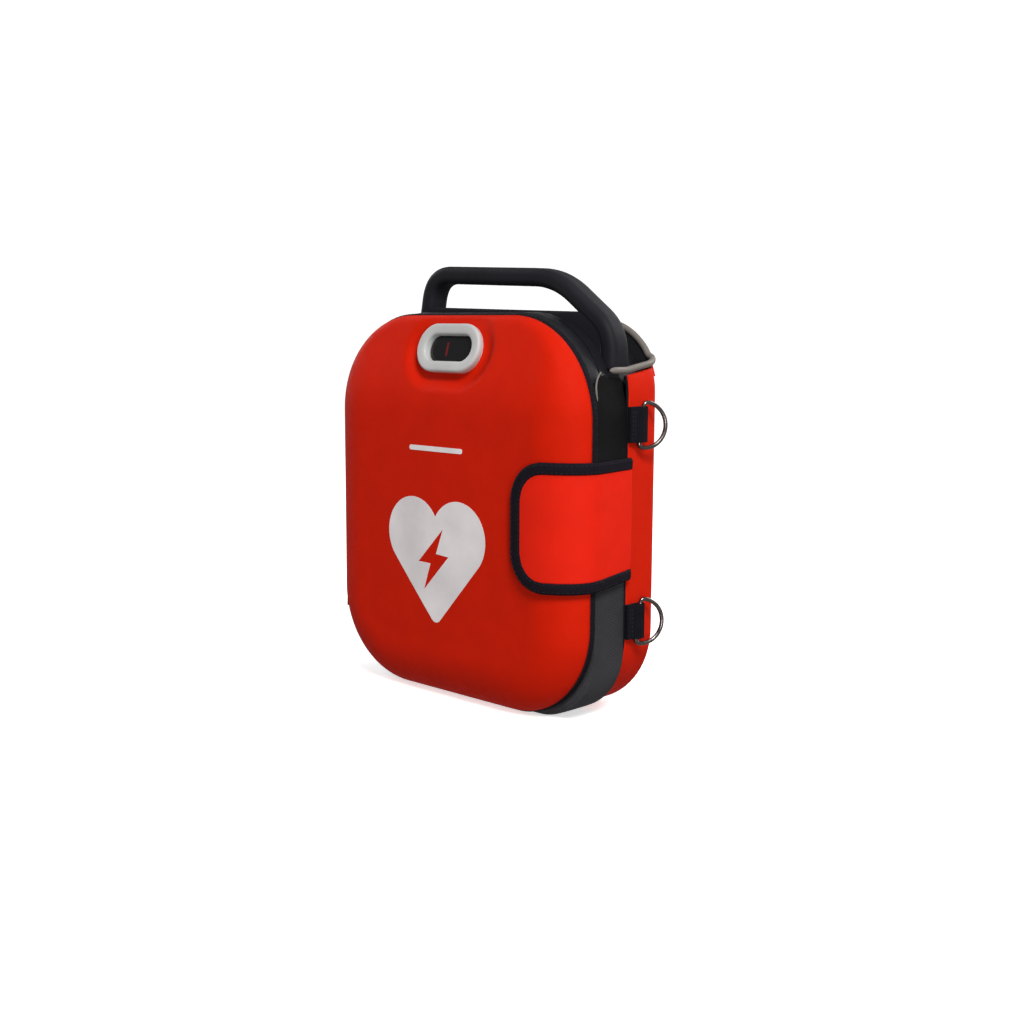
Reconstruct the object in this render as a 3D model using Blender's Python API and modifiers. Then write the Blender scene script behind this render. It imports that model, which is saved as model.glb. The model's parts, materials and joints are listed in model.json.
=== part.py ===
"""An automated external defibrillator in its carrying case.

The case stands upright, its front facing -Y. It has a moulded rear shell, a
gusset band and a domed cover that opens on the left edge and is held shut on
the right by a flap. The device inside shows its handle above the open top.
Lengths below are millimetres in the case's own frame, where y = 0 is the plane
of the cover's rim, y grows towards the back and z = 0 is the base. Every mesh
is scaled to metres when it is made, and one empty carries the whole assembly.
"""

import math

import bmesh
import bpy
from mathutils import Matrix, Vector

MM = 0.001

# Case
HALF_WIDTH = 109.0
HEIGHT = 245.0
TOP_RADIUS = 63.0
BOTTOM_RADIUS = 61.0
SHELL_HEIGHT = 243.0
SHELL_TOP_RADIUS = 45.0
SHELL_BOTTOM_RADIUS = 52.0
BAND_BOTTOM_RADIUS = 44.0
SHELL_WALL = 3.2
BAND_WALL = 2.6
SEAM_Y = 28.6
BACK_Y = 60.0
BACK_ROUNDING = 9.0
SHELL_CUT = (209.3, 214.0)
BAND_CUT = (203.0, 210.0)
TRIM_RADIUS = 2.0
TRIM_START_Y = 14.0
GAP = 0.3
ABOVE = 260.0
BEYOND = 120.0

# Cover
DOME_DEPTH = 23.2
DOME_FALL = 33.0
COVER_WALL = 3.0
COVER_RIM_DEPTH = 3.8
BINDING_Y = (-1.5, 0.9)
BINDING_WIDTH = 3.8
SLOPE_DEPTH = 14.0
SLOPE_PER_MM = 0.325
BLEND = 4.0
WINDOW_Z = 224.0
WINDOW_TILT = math.radians(16)
SEAT_DEPTH = 12.0
RING_SIZE = (55.0, 31.0)
RING_THICKNESS = 3.4
WINDOW_SIZE = (39.0, 19.0)
SCOOP_REACH = 11.0
COVER_AXIS = (-109.9, 0.5)

# Flap
FLAP_Z = (82.0, 160.0)
FLAP_SEAM_Z = (87.0, 160.8)
FLAP_FRONT_X = 65.5
FLAP_CORNERS = (24.0, 16.0)
FLAP_OFFSET = 1.9
FLAP_THICKNESS = 2.2
FLAP_BINDING = 6.8
FLAP_FRONT_BINDING = 8.8
FOLD_INSET = 2.05
FLAP_AXIS = (110.4, 28.6)
PATCH_THICKNESS = 0.5

# D-rings and their webbing loops
LOOP_HEIGHTS = {"upper": 180.0, "lower": 60.5}
LOOP_WIDTH = 21.4
WEBBING = 1.0
RING_WIRE = 1.3
RING_BAR = (112.0, 37.5)
RING_HALF_HEIGHT = 15.0
RING_REACH = 17.5
RING_LEAN = math.radians(10)
RING_SWING = math.radians(25)
BAR_CLEARANCE = 0.45

# Device
DEVICE_HALF_WIDTH = 104.2
DEVICE_Z = (4.2, 246.5)
DEVICE_TOP_RADIUS = 62.0
DEVICE_BOTTOM_RADIUS = 57.0
DEVICE_FRONT_Y = 2.2
DEVICE_SPLIT_Y = 14.0
DEVICE_BACK_Y = 55.8
HOUSING_WALL = 2.5
GASKET = 1.2
HANDLE_Y = 31.0
HANDLE_SECTION = (17.0, 11.5)
HANDLE_PATH = ((-64, 238), (-57.5, 271.3), (53, 267.4), (96, 235.5), (96, 213))
HANDLE_BENDS = (17.0, 18.0, 14.0)
SADDLE = ((-64, 236), (92, 215), (92, 238), (84, 246.4), (-60, 249.8))
GRIP_SPAN = (-40.0, 36.0)
GRIP_DEPTH = 2.2
GRIP_WIDTH = 9.0

POWER_BUTTON = (-56.0, 176.0, 12.0)
SHOCK_BUTTON = (52.0, 176.0, 16.0)
BUTTON_RISE = 4.0
SPEAKER = (0.0, 172.0, 17.0)
PANEL = (-86.0, 86.0, 150.0, 202.0)
DISPLAY_FRAME = (46.0, 25.0)
DISPLAY_WINDOW = (33.0, 14.0)
POUCH = (-58.0, 92.0, 62.0, 140.0)
BATTERY = (-62.0, 62.0, 10.0, 48.0)
LATCH = (-13.0, 13.0, 50.5, 58.5)
SOCKET = (-80.0, 116.0)
SCREW_PLACES = ((-88, 32), (88, 32), (-92, 143), (95, 143))
BOARD = (-84.0, 84.0, 70.0, 205.0)
BOARD_Y = 20.0
LEAD_RADIUS = 1.6

COLOURS = {
    "red_shell": ((0.60, 0.02, 0.01), 0.62, 0.0),
    "red_flap": ((0.72, 0.02, 0.01), 0.6, 0.0),
    "black_fabric": ((0.02, 0.02, 0.03), 0.8, 0.0),
    "grey_fabric": ((0.04, 0.04, 0.045), 0.8, 0.0),
    "grey_trim": ((0.22, 0.2, 0.18), 0.5, 0.0),
    "white_ring": ((0.65, 0.65, 0.64), 0.4, 0.0),
    "lens": ((0.05, 0.05, 0.05), 0.1, 0.0),
    "nickel": ((0.35, 0.33, 0.31), 0.25, 1.0),
    "black_plastic": ((0.015, 0.015, 0.018), 0.45, 0.0),
    "soft_grip": ((0.02, 0.02, 0.02), 0.85, 0.0),
    "hook_and_loop": ((0.015, 0.015, 0.015), 0.95, 0.0),
    "panel_grey": ((0.35, 0.36, 0.38), 0.5, 0.0),
    "green": ((0.02, 0.4, 0.08), 0.4, 0.0),
    "orange": ((0.85, 0.2, 0.01), 0.35, 0.0),
    "clear": ((0.8, 0.82, 0.8), 0.15, 0.0),
    "battery_grey": ((0.12, 0.12, 0.13), 0.5, 0.0),
    "foil": ((0.5, 0.52, 0.55), 0.3, 0.6),
    "board_green": ((0.02, 0.2, 0.08), 0.5, 0.0),
    "capacitor_sleeve": ((0.03, 0.06, 0.2), 0.35, 0.0),
    "copper": ((0.6, 0.25, 0.1), 0.35, 0.8),
    "steel": ((0.5, 0.5, 0.5), 0.3, 1.0),
}

materials = {}


# Scene ---------------------------------------------------------------------


def clear_scene():
    for obj in list(bpy.data.objects):
        bpy.data.objects.remove(obj, do_unlink=True)


def collection(name):
    made = bpy.data.collections.new(name)
    bpy.context.scene.collection.children.link(made)
    return made


def material(name):
    if name not in materials:
        colour, roughness, metallic = COLOURS[name]
        made = bpy.data.materials.new(name)
        made.use_nodes = True
        shader = made.node_tree.nodes["Principled BSDF"]
        shader.inputs["Base Color"].default_value = (*colour, 1.0)
        shader.inputs["Roughness"].default_value = roughness
        shader.inputs["Metallic"].default_value = metallic
        materials[name] = made
    return materials[name]


def empty(name, place=(0, 0, 0), parent=None):
    made = bpy.data.objects.new(name, None)
    made.location = Vector(place) * MM
    made.parent = parent
    parts.objects.link(made)
    return made


def add(name, mesh, finish, pivot=None, place=(0, 0, 0), turn=(0, 0, 0)):
    """A part at place, riding on the pivot empty of its joint where it has one."""
    made = bpy.data.objects.new(name, mesh)
    parts.objects.link(made)
    mesh.materials.append(material(finish))
    carrier = pivot or origin
    made.parent = carrier
    offset = Vector(place) * MM
    if pivot:
        offset -= pivot.location
    made.location = offset
    made.rotation_euler = turn
    return made


def tool(mesh, place=(0, 0, 0), turn=(0, 0, 0)):
    """A helper that only cuts or joins: hidden in renders, drawn as wire."""
    made = bpy.data.objects.new("tool", mesh)
    cutters.objects.link(made)
    made.parent = origin
    made.location = Vector(place) * MM
    made.rotation_euler = turn
    made.hide_render = True
    made.display_type = "WIRE"
    return made


def combine(part, helper, operation):
    modifier = part.modifiers.new(operation.title(), "BOOLEAN")
    modifier.operation = operation
    modifier.object = helper


def cut(part, helper):
    combine(part, helper, "DIFFERENCE")


def join(part, helper):
    combine(part, helper, "UNION")


def keep_inside(part, helper):
    combine(part, helper, "INTERSECT")


def round_edges(part, width, segments=2, angle=40):
    modifier = part.modifiers.new("Bevel", "BEVEL")
    modifier.width = width * MM
    modifier.segments = segments
    modifier.limit_method = "ANGLE"
    modifier.angle_limit = math.radians(angle)


# Outlines ------------------------------------------------------------------


def arc(cx, cy, radius, start, end, steps):
    """Points of an arc in degrees, both ends included."""
    turn = [math.radians(start + (end - start) * i / steps) for i in range(steps + 1)]
    return [(cx + radius * math.cos(a), cy + radius * math.sin(a)) for a in turn]


def rounded(half_width, low, high, low_radius, high_radius, steps=8):
    """A rounded rectangle about u = 0, anticlockwise from its lower left corner."""
    lx, hx = half_width - low_radius, half_width - high_radius
    return (
        arc(-lx, low + low_radius, low_radius, 180, 270, steps)
        + arc(lx, low + low_radius, low_radius, 270, 360, steps)
        + arc(hx, high - high_radius, high_radius, 0, 90, steps)
        + arc(-hx, high - high_radius, high_radius, 90, 180, steps)
    )


def case_outline(inset=0.0, steps=8):
    return rounded(
        HALF_WIDTH - inset, inset, HEIGHT - inset, BOTTOM_RADIUS - inset, TOP_RADIUS - inset, steps
    )


def shell_outline(inset=0.0, steps=8):
    return rounded(
        HALF_WIDTH - inset,
        inset,
        SHELL_HEIGHT - inset,
        SHELL_BOTTOM_RADIUS - inset,
        SHELL_TOP_RADIUS - inset,
        steps,
    )


def device_outline(inset=0.0, steps=8):
    low, high = DEVICE_Z
    return rounded(
        DEVICE_HALF_WIDTH - inset,
        low + inset,
        high - inset,
        DEVICE_BOTTOM_RADIUS - inset,
        DEVICE_TOP_RADIUS - inset,
        steps,
    )


def stadium(length, height, steps=7):
    reach = (length - height) / 2
    half = height / 2
    return arc(reach, 0, half, -90, 90, steps) + arc(-reach, 0, half, 90, 270, steps)


def rectangle(u0, u1, v0, v1):
    return [(u0, v0), (u1, v0), (u1, v1), (u0, v1)]


def soft_rectangle(u0, u1, v0, v1, radius, steps=3):
    middle = (u0 + u1) / 2
    outline = rounded((u1 - u0) / 2, v0, v1, radius, radius, steps)
    return [(u + middle, v) for u, v in outline]


# Meshes --------------------------------------------------------------------


def along(axis, depth, u, v):
    """The point at depth along an axis, with u and v on the two others."""
    point = {"X": (depth, u, v), "Y": (u, depth, v), "Z": (u, v, depth)}[axis]
    return Vector(point) * MM


def to_mesh(bm, name="mesh"):
    bmesh.ops.recalc_face_normals(bm, faces=bm.faces)
    mesh = bpy.data.meshes.new(name)
    bm.to_mesh(mesh)
    bm.free()
    return mesh


def prism(outline, axis, low, high, rounding=0.0, at_high=True, segments=2):
    """The closed outline pushed along an axis, one end's edge rounded if asked."""
    bm = bmesh.new()
    face = bm.faces.new([bm.verts.new(along(axis, low, u, v)) for u, v in outline])
    pushed = bmesh.ops.extrude_face_region(bm, geom=[face])["geom"]
    moved = [item for item in pushed if isinstance(item, bmesh.types.BMVert)]
    bmesh.ops.translate(bm, verts=moved, vec=along(axis, high - low, 0, 0))
    if rounding:
        ends = set(moved) if at_high else set(bm.verts) - set(moved)
        edges = [edge for edge in bm.edges if set(edge.verts) <= ends]
        bmesh.ops.bevel(
            bm,
            geom=edges,
            offset=rounding * MM,
            segments=segments,
            profile=0.5,
            affect="EDGES",
        )
    return to_mesh(bm)


def block(low, high):
    bm = bmesh.new()
    bmesh.ops.create_cube(bm, size=1.0)
    size = Vector(high) - Vector(low)
    bmesh.ops.scale(bm, verts=bm.verts, vec=size * MM)
    bmesh.ops.translate(bm, verts=bm.verts, vec=(Vector(low) + size / 2) * MM)
    return to_mesh(bm)


def drum(axis, u, v, low, high, radius, segments=24, tip=None):
    """A cylinder along an axis, or a cone frustum where tip gives its far radius."""
    bm = bmesh.new()
    bmesh.ops.create_cone(
        bm,
        cap_ends=True,
        segments=segments,
        radius1=radius * MM,
        radius2=(radius if tip is None else tip) * MM,
        depth=(high - low) * MM,
    )
    turn = {
        "X": Matrix.Rotation(math.pi / 2, 3, "Y"),
        "Y": Matrix.Rotation(-math.pi / 2, 3, "X"),
        "Z": Matrix.Identity(3),
    }[axis]
    bmesh.ops.rotate(bm, verts=bm.verts, matrix=turn)
    bmesh.ops.translate(bm, verts=bm.verts, vec=along(axis, (low + high) / 2, u, v))
    return to_mesh(bm)


def curve_mesh(points, radius=0.0, section=None, closed=False, resolution=2):
    """A wire of the given radius, or a section swept along the points, as a mesh."""
    curve = bpy.data.curves.new("path", "CURVE")
    curve.dimensions = "3D"
    curve.twist_mode = "MINIMUM"
    spline = curve.splines.new("POLY")
    spline.points.add(len(points) - 1)
    for point, place in zip(spline.points, points):
        point.co = (*(Vector(place) * MM), 1.0)
    spline.use_cyclic_u = closed
    curve.use_fill_caps = not closed
    helpers = [bpy.data.objects.new("path", curve)]
    if section:
        profile = bpy.data.curves.new("section", "CURVE")
        ring = profile.splines.new("POLY")
        ring.points.add(len(section) - 1)
        for point, (u, v) in zip(ring.points, section):
            point.co = (u * MM, v * MM, 0.0, 1.0)
        ring.use_cyclic_u = True
        helpers.append(bpy.data.objects.new("section", profile))
        curve.bevel_mode = "OBJECT"
        curve.bevel_object = helpers[1]
    else:
        curve.bevel_depth = radius * MM
        curve.bevel_resolution = resolution
    for helper in helpers:
        cutters.objects.link(helper)
    graph = bpy.context.evaluated_depsgraph_get()
    mesh = bpy.data.meshes.new_from_object(helpers[0].evaluated_get(graph))
    for helper in helpers:
        bpy.data.objects.remove(helper, do_unlink=True)
    bm = bmesh.new()
    bm.from_mesh(mesh)
    bmesh.ops.remove_doubles(bm, verts=bm.verts, dist=1e-6)
    bpy.data.meshes.remove(mesh)
    return to_mesh(bm)


def bent_path(corners, bends, y, steps=6):
    """A path of straight runs in the plane y whose inner corners are rounded."""
    path = [(corners[0][0], y, corners[0][1])]
    for before, corner, after, bend in zip(corners, corners[1:-1], corners[2:], bends):
        here = Vector(corner)
        start = here + (Vector(before) - here).normalized() * bend
        end = here + (Vector(after) - here).normalized() * bend
        for i in range(steps + 1):
            t = i / steps
            point = start * (1 - t) ** 2 + here * 2 * t * (1 - t) + end * t * t
            path.append((point.x, y, point.y))
    path.append((corners[-1][0], y, corners[-1][1]))
    return path


# The cover's dome ----------------------------------------------------------


def smooth_step(low, high, value):
    t = min(max((value - low) / (high - low), 0.0), 1.0)
    return t * t * (3 - 2 * t)


def smooth_min(a, b, width):
    h = min(max(0.5 + 0.5 * (b - a) / width, 0.0), 1.0)
    return b + (a - b) * h - width * h * (1 - h)


def inset_of(x, z):
    """How far inside the case's outline a point lies."""
    radius, level = TOP_RADIUS, HEIGHT - z
    if z < HEIGHT / 2:
        radius, level = BOTTOM_RADIUS, z
    side = HALF_WIDTH - abs(x)
    if side < radius and level < radius:
        return radius - math.hypot(radius - side, radius - level)
    return min(side, level)


def side_depth(inset):
    """How far the dome stands in front of the rim plane, by the inset alone."""
    lack = 1 - min(inset / DOME_FALL, 1.0)
    return DOME_DEPTH * math.sqrt(max(1 - lack * lack, 0.0))


def dome_depth(x, z):
    """Depth of the dome: its round edge, the slope at the top and the ring's seat."""
    slope = SLOPE_DEPTH + (WINDOW_Z - z) * SLOPE_PER_MM
    depth = smooth_min(side_depth(inset_of(x, z)), slope, BLEND)
    rise = (z - WINDOW_Z) / math.cos(WINDOW_TILT)
    half = RING_SIZE[1] / 2
    beyond = max(abs(x) - (RING_SIZE[0] / 2 - half), 0.0)
    outside = math.hypot(beyond, rise) - half
    seat = SEAT_DEPTH - (z - WINDOW_Z) * math.tan(WINDOW_TILT)
    share = smooth_step(2.5, SCOOP_REACH, outside)
    return min(depth, seat + (depth - seat) * share)


def dome_ring(inset):
    """The outline at one inset, with points along its straight sides as well."""
    corners = case_outline(inset, 7)
    spans = {7: 6, 15: 8, 23: 10, 31: 8}
    ring = []
    for i, start in enumerate(corners):
        end = corners[(i + 1) % len(corners)]
        pieces = spans.get(i, 1)
        for k in range(pieces):
            t = k / pieces
            ring.append((start[0] * (1 - t) + end[0] * t, start[1] * (1 - t) + end[1] * t))
    return ring


def dome_mesh():
    """The dome as rings of points that follow the outline, closed by a front face."""
    bm = bmesh.new()
    rim = DOME_FALL * (1 - math.sqrt(1 - (COVER_RIM_DEPTH / DOME_DEPTH) ** 2))
    rows = []
    for inset in (rim, 1.4, 2.8, 5.0, 8.0, 12.0, 17.0, 23.0, 30.0, 37.0, 45.0, 53.0):
        places = [(x, -max(dome_depth(x, z), COVER_RIM_DEPTH), z) for x, z in dome_ring(inset)]
        rows.append([bm.verts.new(Vector(place) * MM) for place in places])
    count = len(rows[0])
    for outer, inner in zip(rows, rows[1:]):
        for i in range(count):
            j = (i + 1) % count
            bm.faces.new((outer[i], outer[j], inner[j], inner[i]))
    bm.faces.new(rows[-1])
    return to_mesh(bm)


def side_profile(offset, insets):
    """Points (x, y) that run round the cover's right edge, offset from its surface."""
    points = []
    for inset in insets:
        step = 0.01
        ahead, behind = side_depth(inset + step), side_depth(max(inset - step, 0.0))
        tangent = Vector((-2 * step, -(ahead - behind))).normalized()
        normal = Vector((-tangent.y, tangent.x))
        x, y = HALF_WIDTH - inset, -side_depth(inset)
        points.append((x + normal.x * offset, y + normal.y * offset))
    return points


def wrap(offset, thickness, insets, tail_y=None):
    """A strip round the cover's right edge as an outline in x and y."""
    inner = side_profile(offset, insets)
    outer = side_profile(offset + thickness, insets)
    if tail_y is not None:
        inner = [(inner[0][0], tail_y)] + inner
        outer = [(outer[0][0], tail_y)] + outer
    return inner + outer[::-1]


# Case ----------------------------------------------------------------------


def make_rear_shell():
    tray = prism(shell_outline(), "Y", SEAM_Y + 0.2, BACK_Y, BACK_ROUNDING, segments=4)
    shell = add("rear_shell", tray, "red_shell")
    hollow = prism(
        shell_outline(SHELL_WALL), "Y", SEAM_Y - 5, BACK_Y - SHELL_WALL, 5.5, segments=3
    )
    cut(shell, tool(hollow))
    front, back = SHELL_CUT
    y0, y1 = SEAM_Y - 9, BACK_Y + 5
    above = [(y0, front - 1.5), (y1, back + 0.7), (y1, ABOVE), (y0, ABOVE)]
    cut(shell, tool(prism(above, "X", -BEYOND, BEYOND)))
    upper = shell_outline(2 * TRIM_RADIUS + 0.6)
    panel = prism(upper, "Y", BACK_Y - SHELL_WALL + 0.2, BACK_Y - 0.2)
    join(shell, tool(panel))


def make_gusset_band():
    outline = rounded(HALF_WIDTH - GAP, 0, HEIGHT - GAP, BAND_BOTTOM_RADIUS, TOP_RADIUS - GAP)
    band = add("gusset_band", prism(outline, "Y", 1.3, SEAM_Y - 0.1), "grey_fabric")
    hollow = prism(case_outline(GAP + BAND_WALL), "Y", -5, SEAM_Y + 5)
    cut(band, tool(hollow))
    front, back = BAND_CUT
    y0, y1 = -3, SEAM_Y + 5
    above = [(y0, front - 1.5), (TRIM_START_Y, back), (y1, back), (y1, ABOVE), (y0, ABOVE)]
    cut(band, tool(prism(above, "X", -BEYOND, BEYOND)))


def make_trims():
    """Grey binding along the shell's open edge, and a thin one on each band end."""
    level = BAND_CUT[1] + TRIM_RADIUS + 0.4
    slope = (SHELL_CUT[1] - SHELL_CUT[0]) / (BACK_Y - SEAM_Y)
    x = HALF_WIDTH - 1.8
    side = [(x - 0.6, TRIM_START_Y, level), (x - 0.2, 21, level), (x, SEAM_Y, level)]
    for y in (36, 44, 50):
        side.append((x - (y - SEAM_Y) ** 2 * 0.001, y, level + (y - SEAM_Y) * slope))
    back_y = BACK_Y - TRIM_RADIUS
    side += [(x - 1.6, 54.5, level + 4.4), (x - 3.4, 57.2, level + 6.6)]
    centre = HALF_WIDTH - SHELL_TOP_RADIUS
    radius = SHELL_TOP_RADIUS - TRIM_RADIUS - 0.2
    bend = arc(centre, SHELL_HEIGHT - SHELL_TOP_RADIUS, radius, 32, 90, 9)
    right = side + [(u, back_y, z) for u, z in bend]
    left = [(-u, y, z) for u, y, z in reversed(right)]
    add("edge_trim", curve_mesh(right + left, TRIM_RADIUS), "grey_trim")
    for name, sign in (("right", 1), ("left", -1)):
        path = []
        for y in (2.6, 7.0, 11.4):
            z = BAND_CUT[0] - 1.5 + (y + 3) * (BAND_CUT[1] - BAND_CUT[0] + 1.5) / 17 + 1.7
            reach = math.sqrt((TOP_RADIUS - 1.6) ** 2 - (z - HEIGHT + TOP_RADIUS) ** 2)
            path.append((sign * (HALF_WIDTH - TOP_RADIUS + reach), y, z))
        add(f"gusset_trim_{name}", curve_mesh(path, 0.9), "grey_trim")


def make_webbing_loop(level, side, height):
    """Webbing folded round the straight bar of a D-ring, its ends at the seam."""
    sign = 1 if side == "right" else -1
    bar_x, bar_y = RING_BAR
    slot = math.sin(RING_LEAN) * LOOP_WIDTH / 2
    hole = RING_WIRE + BAR_CLEARANCE
    outer = hole + WEBBING
    wall = bar_x - outer
    tail = [(wall, SEAM_Y + 0.4), (wall + 2 * WEBBING, SEAM_Y + 0.4), (wall + 2.1, bar_y - 7)]
    fold = arc(bar_x, bar_y - slot, outer, 20, 0, 2) + arc(bar_x, bar_y + slot, outer, 0, 180, 8)
    outline = tail + [(bar_x + outer - 1.0, bar_y - slot - 2.2)] + fold[2:]
    eye = arc(bar_x, bar_y + slot, hole, 0, 180, 6) + arc(bar_x, bar_y - slot, hole, 180, 360, 6)
    low, high = height - LOOP_WIDTH / 2, height + LOOP_WIDTH / 2
    body = prism([(sign * x, y) for x, y in outline], "Z", low, high)
    loop = add(f"webbing_loop_{level}_{side}", body, "black_fabric")
    cut(loop, tool(prism([(sign * x, y) for x, y in eye], "Z", low - 4, high + 4)))


def make_d_ring(level, side, height):
    """A wire D on an empty at its bar, which leans with the hanging ring's weight."""
    sign = 1 if side == "right" else -1
    bar_x, bar_y = RING_BAR
    hinge = empty(f"pivot_{level}_{side}", (sign * bar_x, bar_y, height), origin)
    hinge.rotation_euler = (-RING_LEAN, 0, 0)
    reach, half = RING_REACH - RING_WIRE, RING_HALF_HEIGHT - RING_WIRE
    bow = [(0, -half)] + arc(reach - half, 0, half, -90, 90, 12) + [(0, half)]
    path = []
    for out, up in bow:
        path.append((-out * math.sin(RING_SWING), out * math.cos(RING_SWING), up))
    wire = curve_mesh(path, RING_WIRE, closed=True)
    if side == "right":
        wire.transform(Matrix.Scale(-1, 4, (1, 0, 0)))
        wire.flip_normals()
    made = bpy.data.objects.new(f"d_ring_{level}_{side}", wire)
    parts.objects.link(made)
    made.data.materials.append(material("nickel"))
    made.parent = hinge


def make_case():
    make_rear_shell()
    make_gusset_band()
    make_trims()
    for level, height in LOOP_HEIGHTS.items():
        for side in ("right", "left"):
            make_webbing_loop(level, side, height)
            make_d_ring(level, side, height)
    strip = block((-HALF_WIDTH - 2.0, 3.0, 44), (-HALF_WIDTH - 0.2, 15.0, 180))
    add("hinge_strip", strip, "black_fabric")


# Cover and flap ------------------------------------------------------------


def make_cover():
    hinge = empty("cover_pivot", (*COVER_AXIS, 0), origin)
    cover = add("front_cover", dome_mesh(), "red_shell", hinge)
    shell = cover.modifiers.new("Wall", "SOLIDIFY")
    shell.thickness = COVER_WALL * MM
    shell.offset = -1
    seat = (0, -SEAT_DEPTH - 2 * GAP, WINDOW_Z)
    tilt = (-WINDOW_TILT, 0, 0)
    length, height = WINDOW_SIZE
    hole = prism(stadium(length + 8, height + 8), "Y", -15, 15)
    cut(cover, tool(hole, seat, tilt))

    outline = rounded(HALF_WIDTH + 0.2, 0.1, HEIGHT, BOTTOM_RADIUS, TOP_RADIUS)
    binding = add("cover_binding", prism(outline, "Y", *BINDING_Y), "black_fabric", hinge)
    cut(binding, tool(prism(case_outline(BINDING_WIDTH), "Y", -9, 9)))

    flange = prism(stadium(*RING_SIZE), "Y", -RING_THICKNESS, 0, 1.2, at_high=False)
    ring = add("window_ring", flange, "white_ring", hinge, seat, tilt)
    collar = prism(stadium(length + 7, height + 7), "Y", -1, 5)
    join(ring, tool(collar, seat, tilt))
    cut(ring, tool(prism(stadium(length, height), "Y", -9, 9), seat, tilt))
    lens = prism(stadium(length - 0.7, height - 0.7), "Y", 1.0, 2.6)
    add("window_lens", lens, "lens", hinge, seat, tilt)

    loop = prism(wrap(GAP, PATCH_THICKNESS, (8, 11, 15, 20, 26, 33, 39)), "Z", 92, 149)
    add("cover_loop_patch", loop, "hook_and_loop", hinge)


def open_ended(edge, low, high, corner, far=140):
    """A front-view outline with two round corners at its edge and none far from it."""
    upper = arc(edge + corner, high - corner, corner, 180, 90, 8)
    lower = arc(edge + corner, low + corner, corner, 270, 180, 8)
    return lower + upper + [(far, high), (far, low)]


def make_flap():
    """The flap in two stiff halves, which fold where it turns the cover's corner."""
    hinge = empty("flap_pivot", (*FLAP_AXIS, 0), origin)
    fold_x, fold_y = side_profile(FLAP_OFFSET + FLAP_THICKNESS, (FOLD_INSET,))[0]
    fold = empty("fold_pivot", (fold_x, fold_y, 0), origin)
    low, high = FLAP_Z
    seam_low, seam_high = FLAP_SEAM_Z
    tail = SEAM_Y - 0.6
    end = tail + 1
    side_edge = [(-30, low), (-6, low + 0.8), (end, seam_low), (end, seam_high), (-30, high)]
    width = FLAP_BINDING
    side_field = [(y, z + width) for y, z in side_edge[:3]] + [(y, z - width) for y, z in side_edge[3:]]
    root = (0.3, 0.8, 1.4, FOLD_INSET - 0.15)
    side = prism(wrap(FLAP_OFFSET, FLAP_THICKNESS, root, tail), "Z", 60, 180)
    panel = add("flap_side_panel", side, "red_flap", hinge)
    keep_inside(panel, tool(prism(side_field, "X", 100, 130)))
    for name, lower in (("lower", True), ("upper", False)):
        strip = prism(wrap(FLAP_OFFSET, FLAP_THICKNESS, root, tail), "Z", 60, 180)
        binding = add(f"flap_side_binding_{name}", strip, "black_fabric", hinge)
        half = side_edge[:3] if lower else side_edge[3:]
        field = side_field[:3] if lower else side_field[3:]
        shift = -GAP if lower else GAP
        border = half + [(y, z + shift) for y, z in reversed(field)]
        keep_inside(binding, tool(prism(border, "X", 100, 130)))

    tip = (FOLD_INSET + 0.15, 3.4, 5.0, 7.5, 11.0, 15.0, 20.0, 26.0, 33.0, 46.0)
    front = prism(wrap(FLAP_OFFSET, FLAP_THICKNESS, tip), "Z", 60, 180)
    corner, inner_corner = FLAP_CORNERS
    edge = FLAP_FRONT_X
    outer = open_ended(edge, low, high, corner)
    field = (edge + FLAP_FRONT_BINDING, low + width, high - width)
    panel = add("flap_front_panel", front, "red_flap", fold)
    keep_inside(panel, tool(prism(open_ended(*field, inner_corner), "Y", -50, 30)))
    border = prism(wrap(FLAP_OFFSET, FLAP_THICKNESS, tip), "Z", 60, 180)
    binding = add("flap_front_binding", border, "black_fabric", fold)
    keep_inside(binding, tool(prism(outer, "Y", -50, 30)))
    field = (field[0] - GAP, field[1] - GAP, field[2] + GAP)
    cut(binding, tool(prism(open_ended(*field, inner_corner + GAP, 145), "Y", -60, 40)))
    tape = wrap(2 * GAP + PATCH_THICKNESS, PATCH_THICKNESS, (15, 20, 26, 33, 39))
    add("flap_hook_patch", prism(tape, "Z", 95, 146), "hook_and_loop", fold)


# Device --------------------------------------------------------------------


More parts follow.
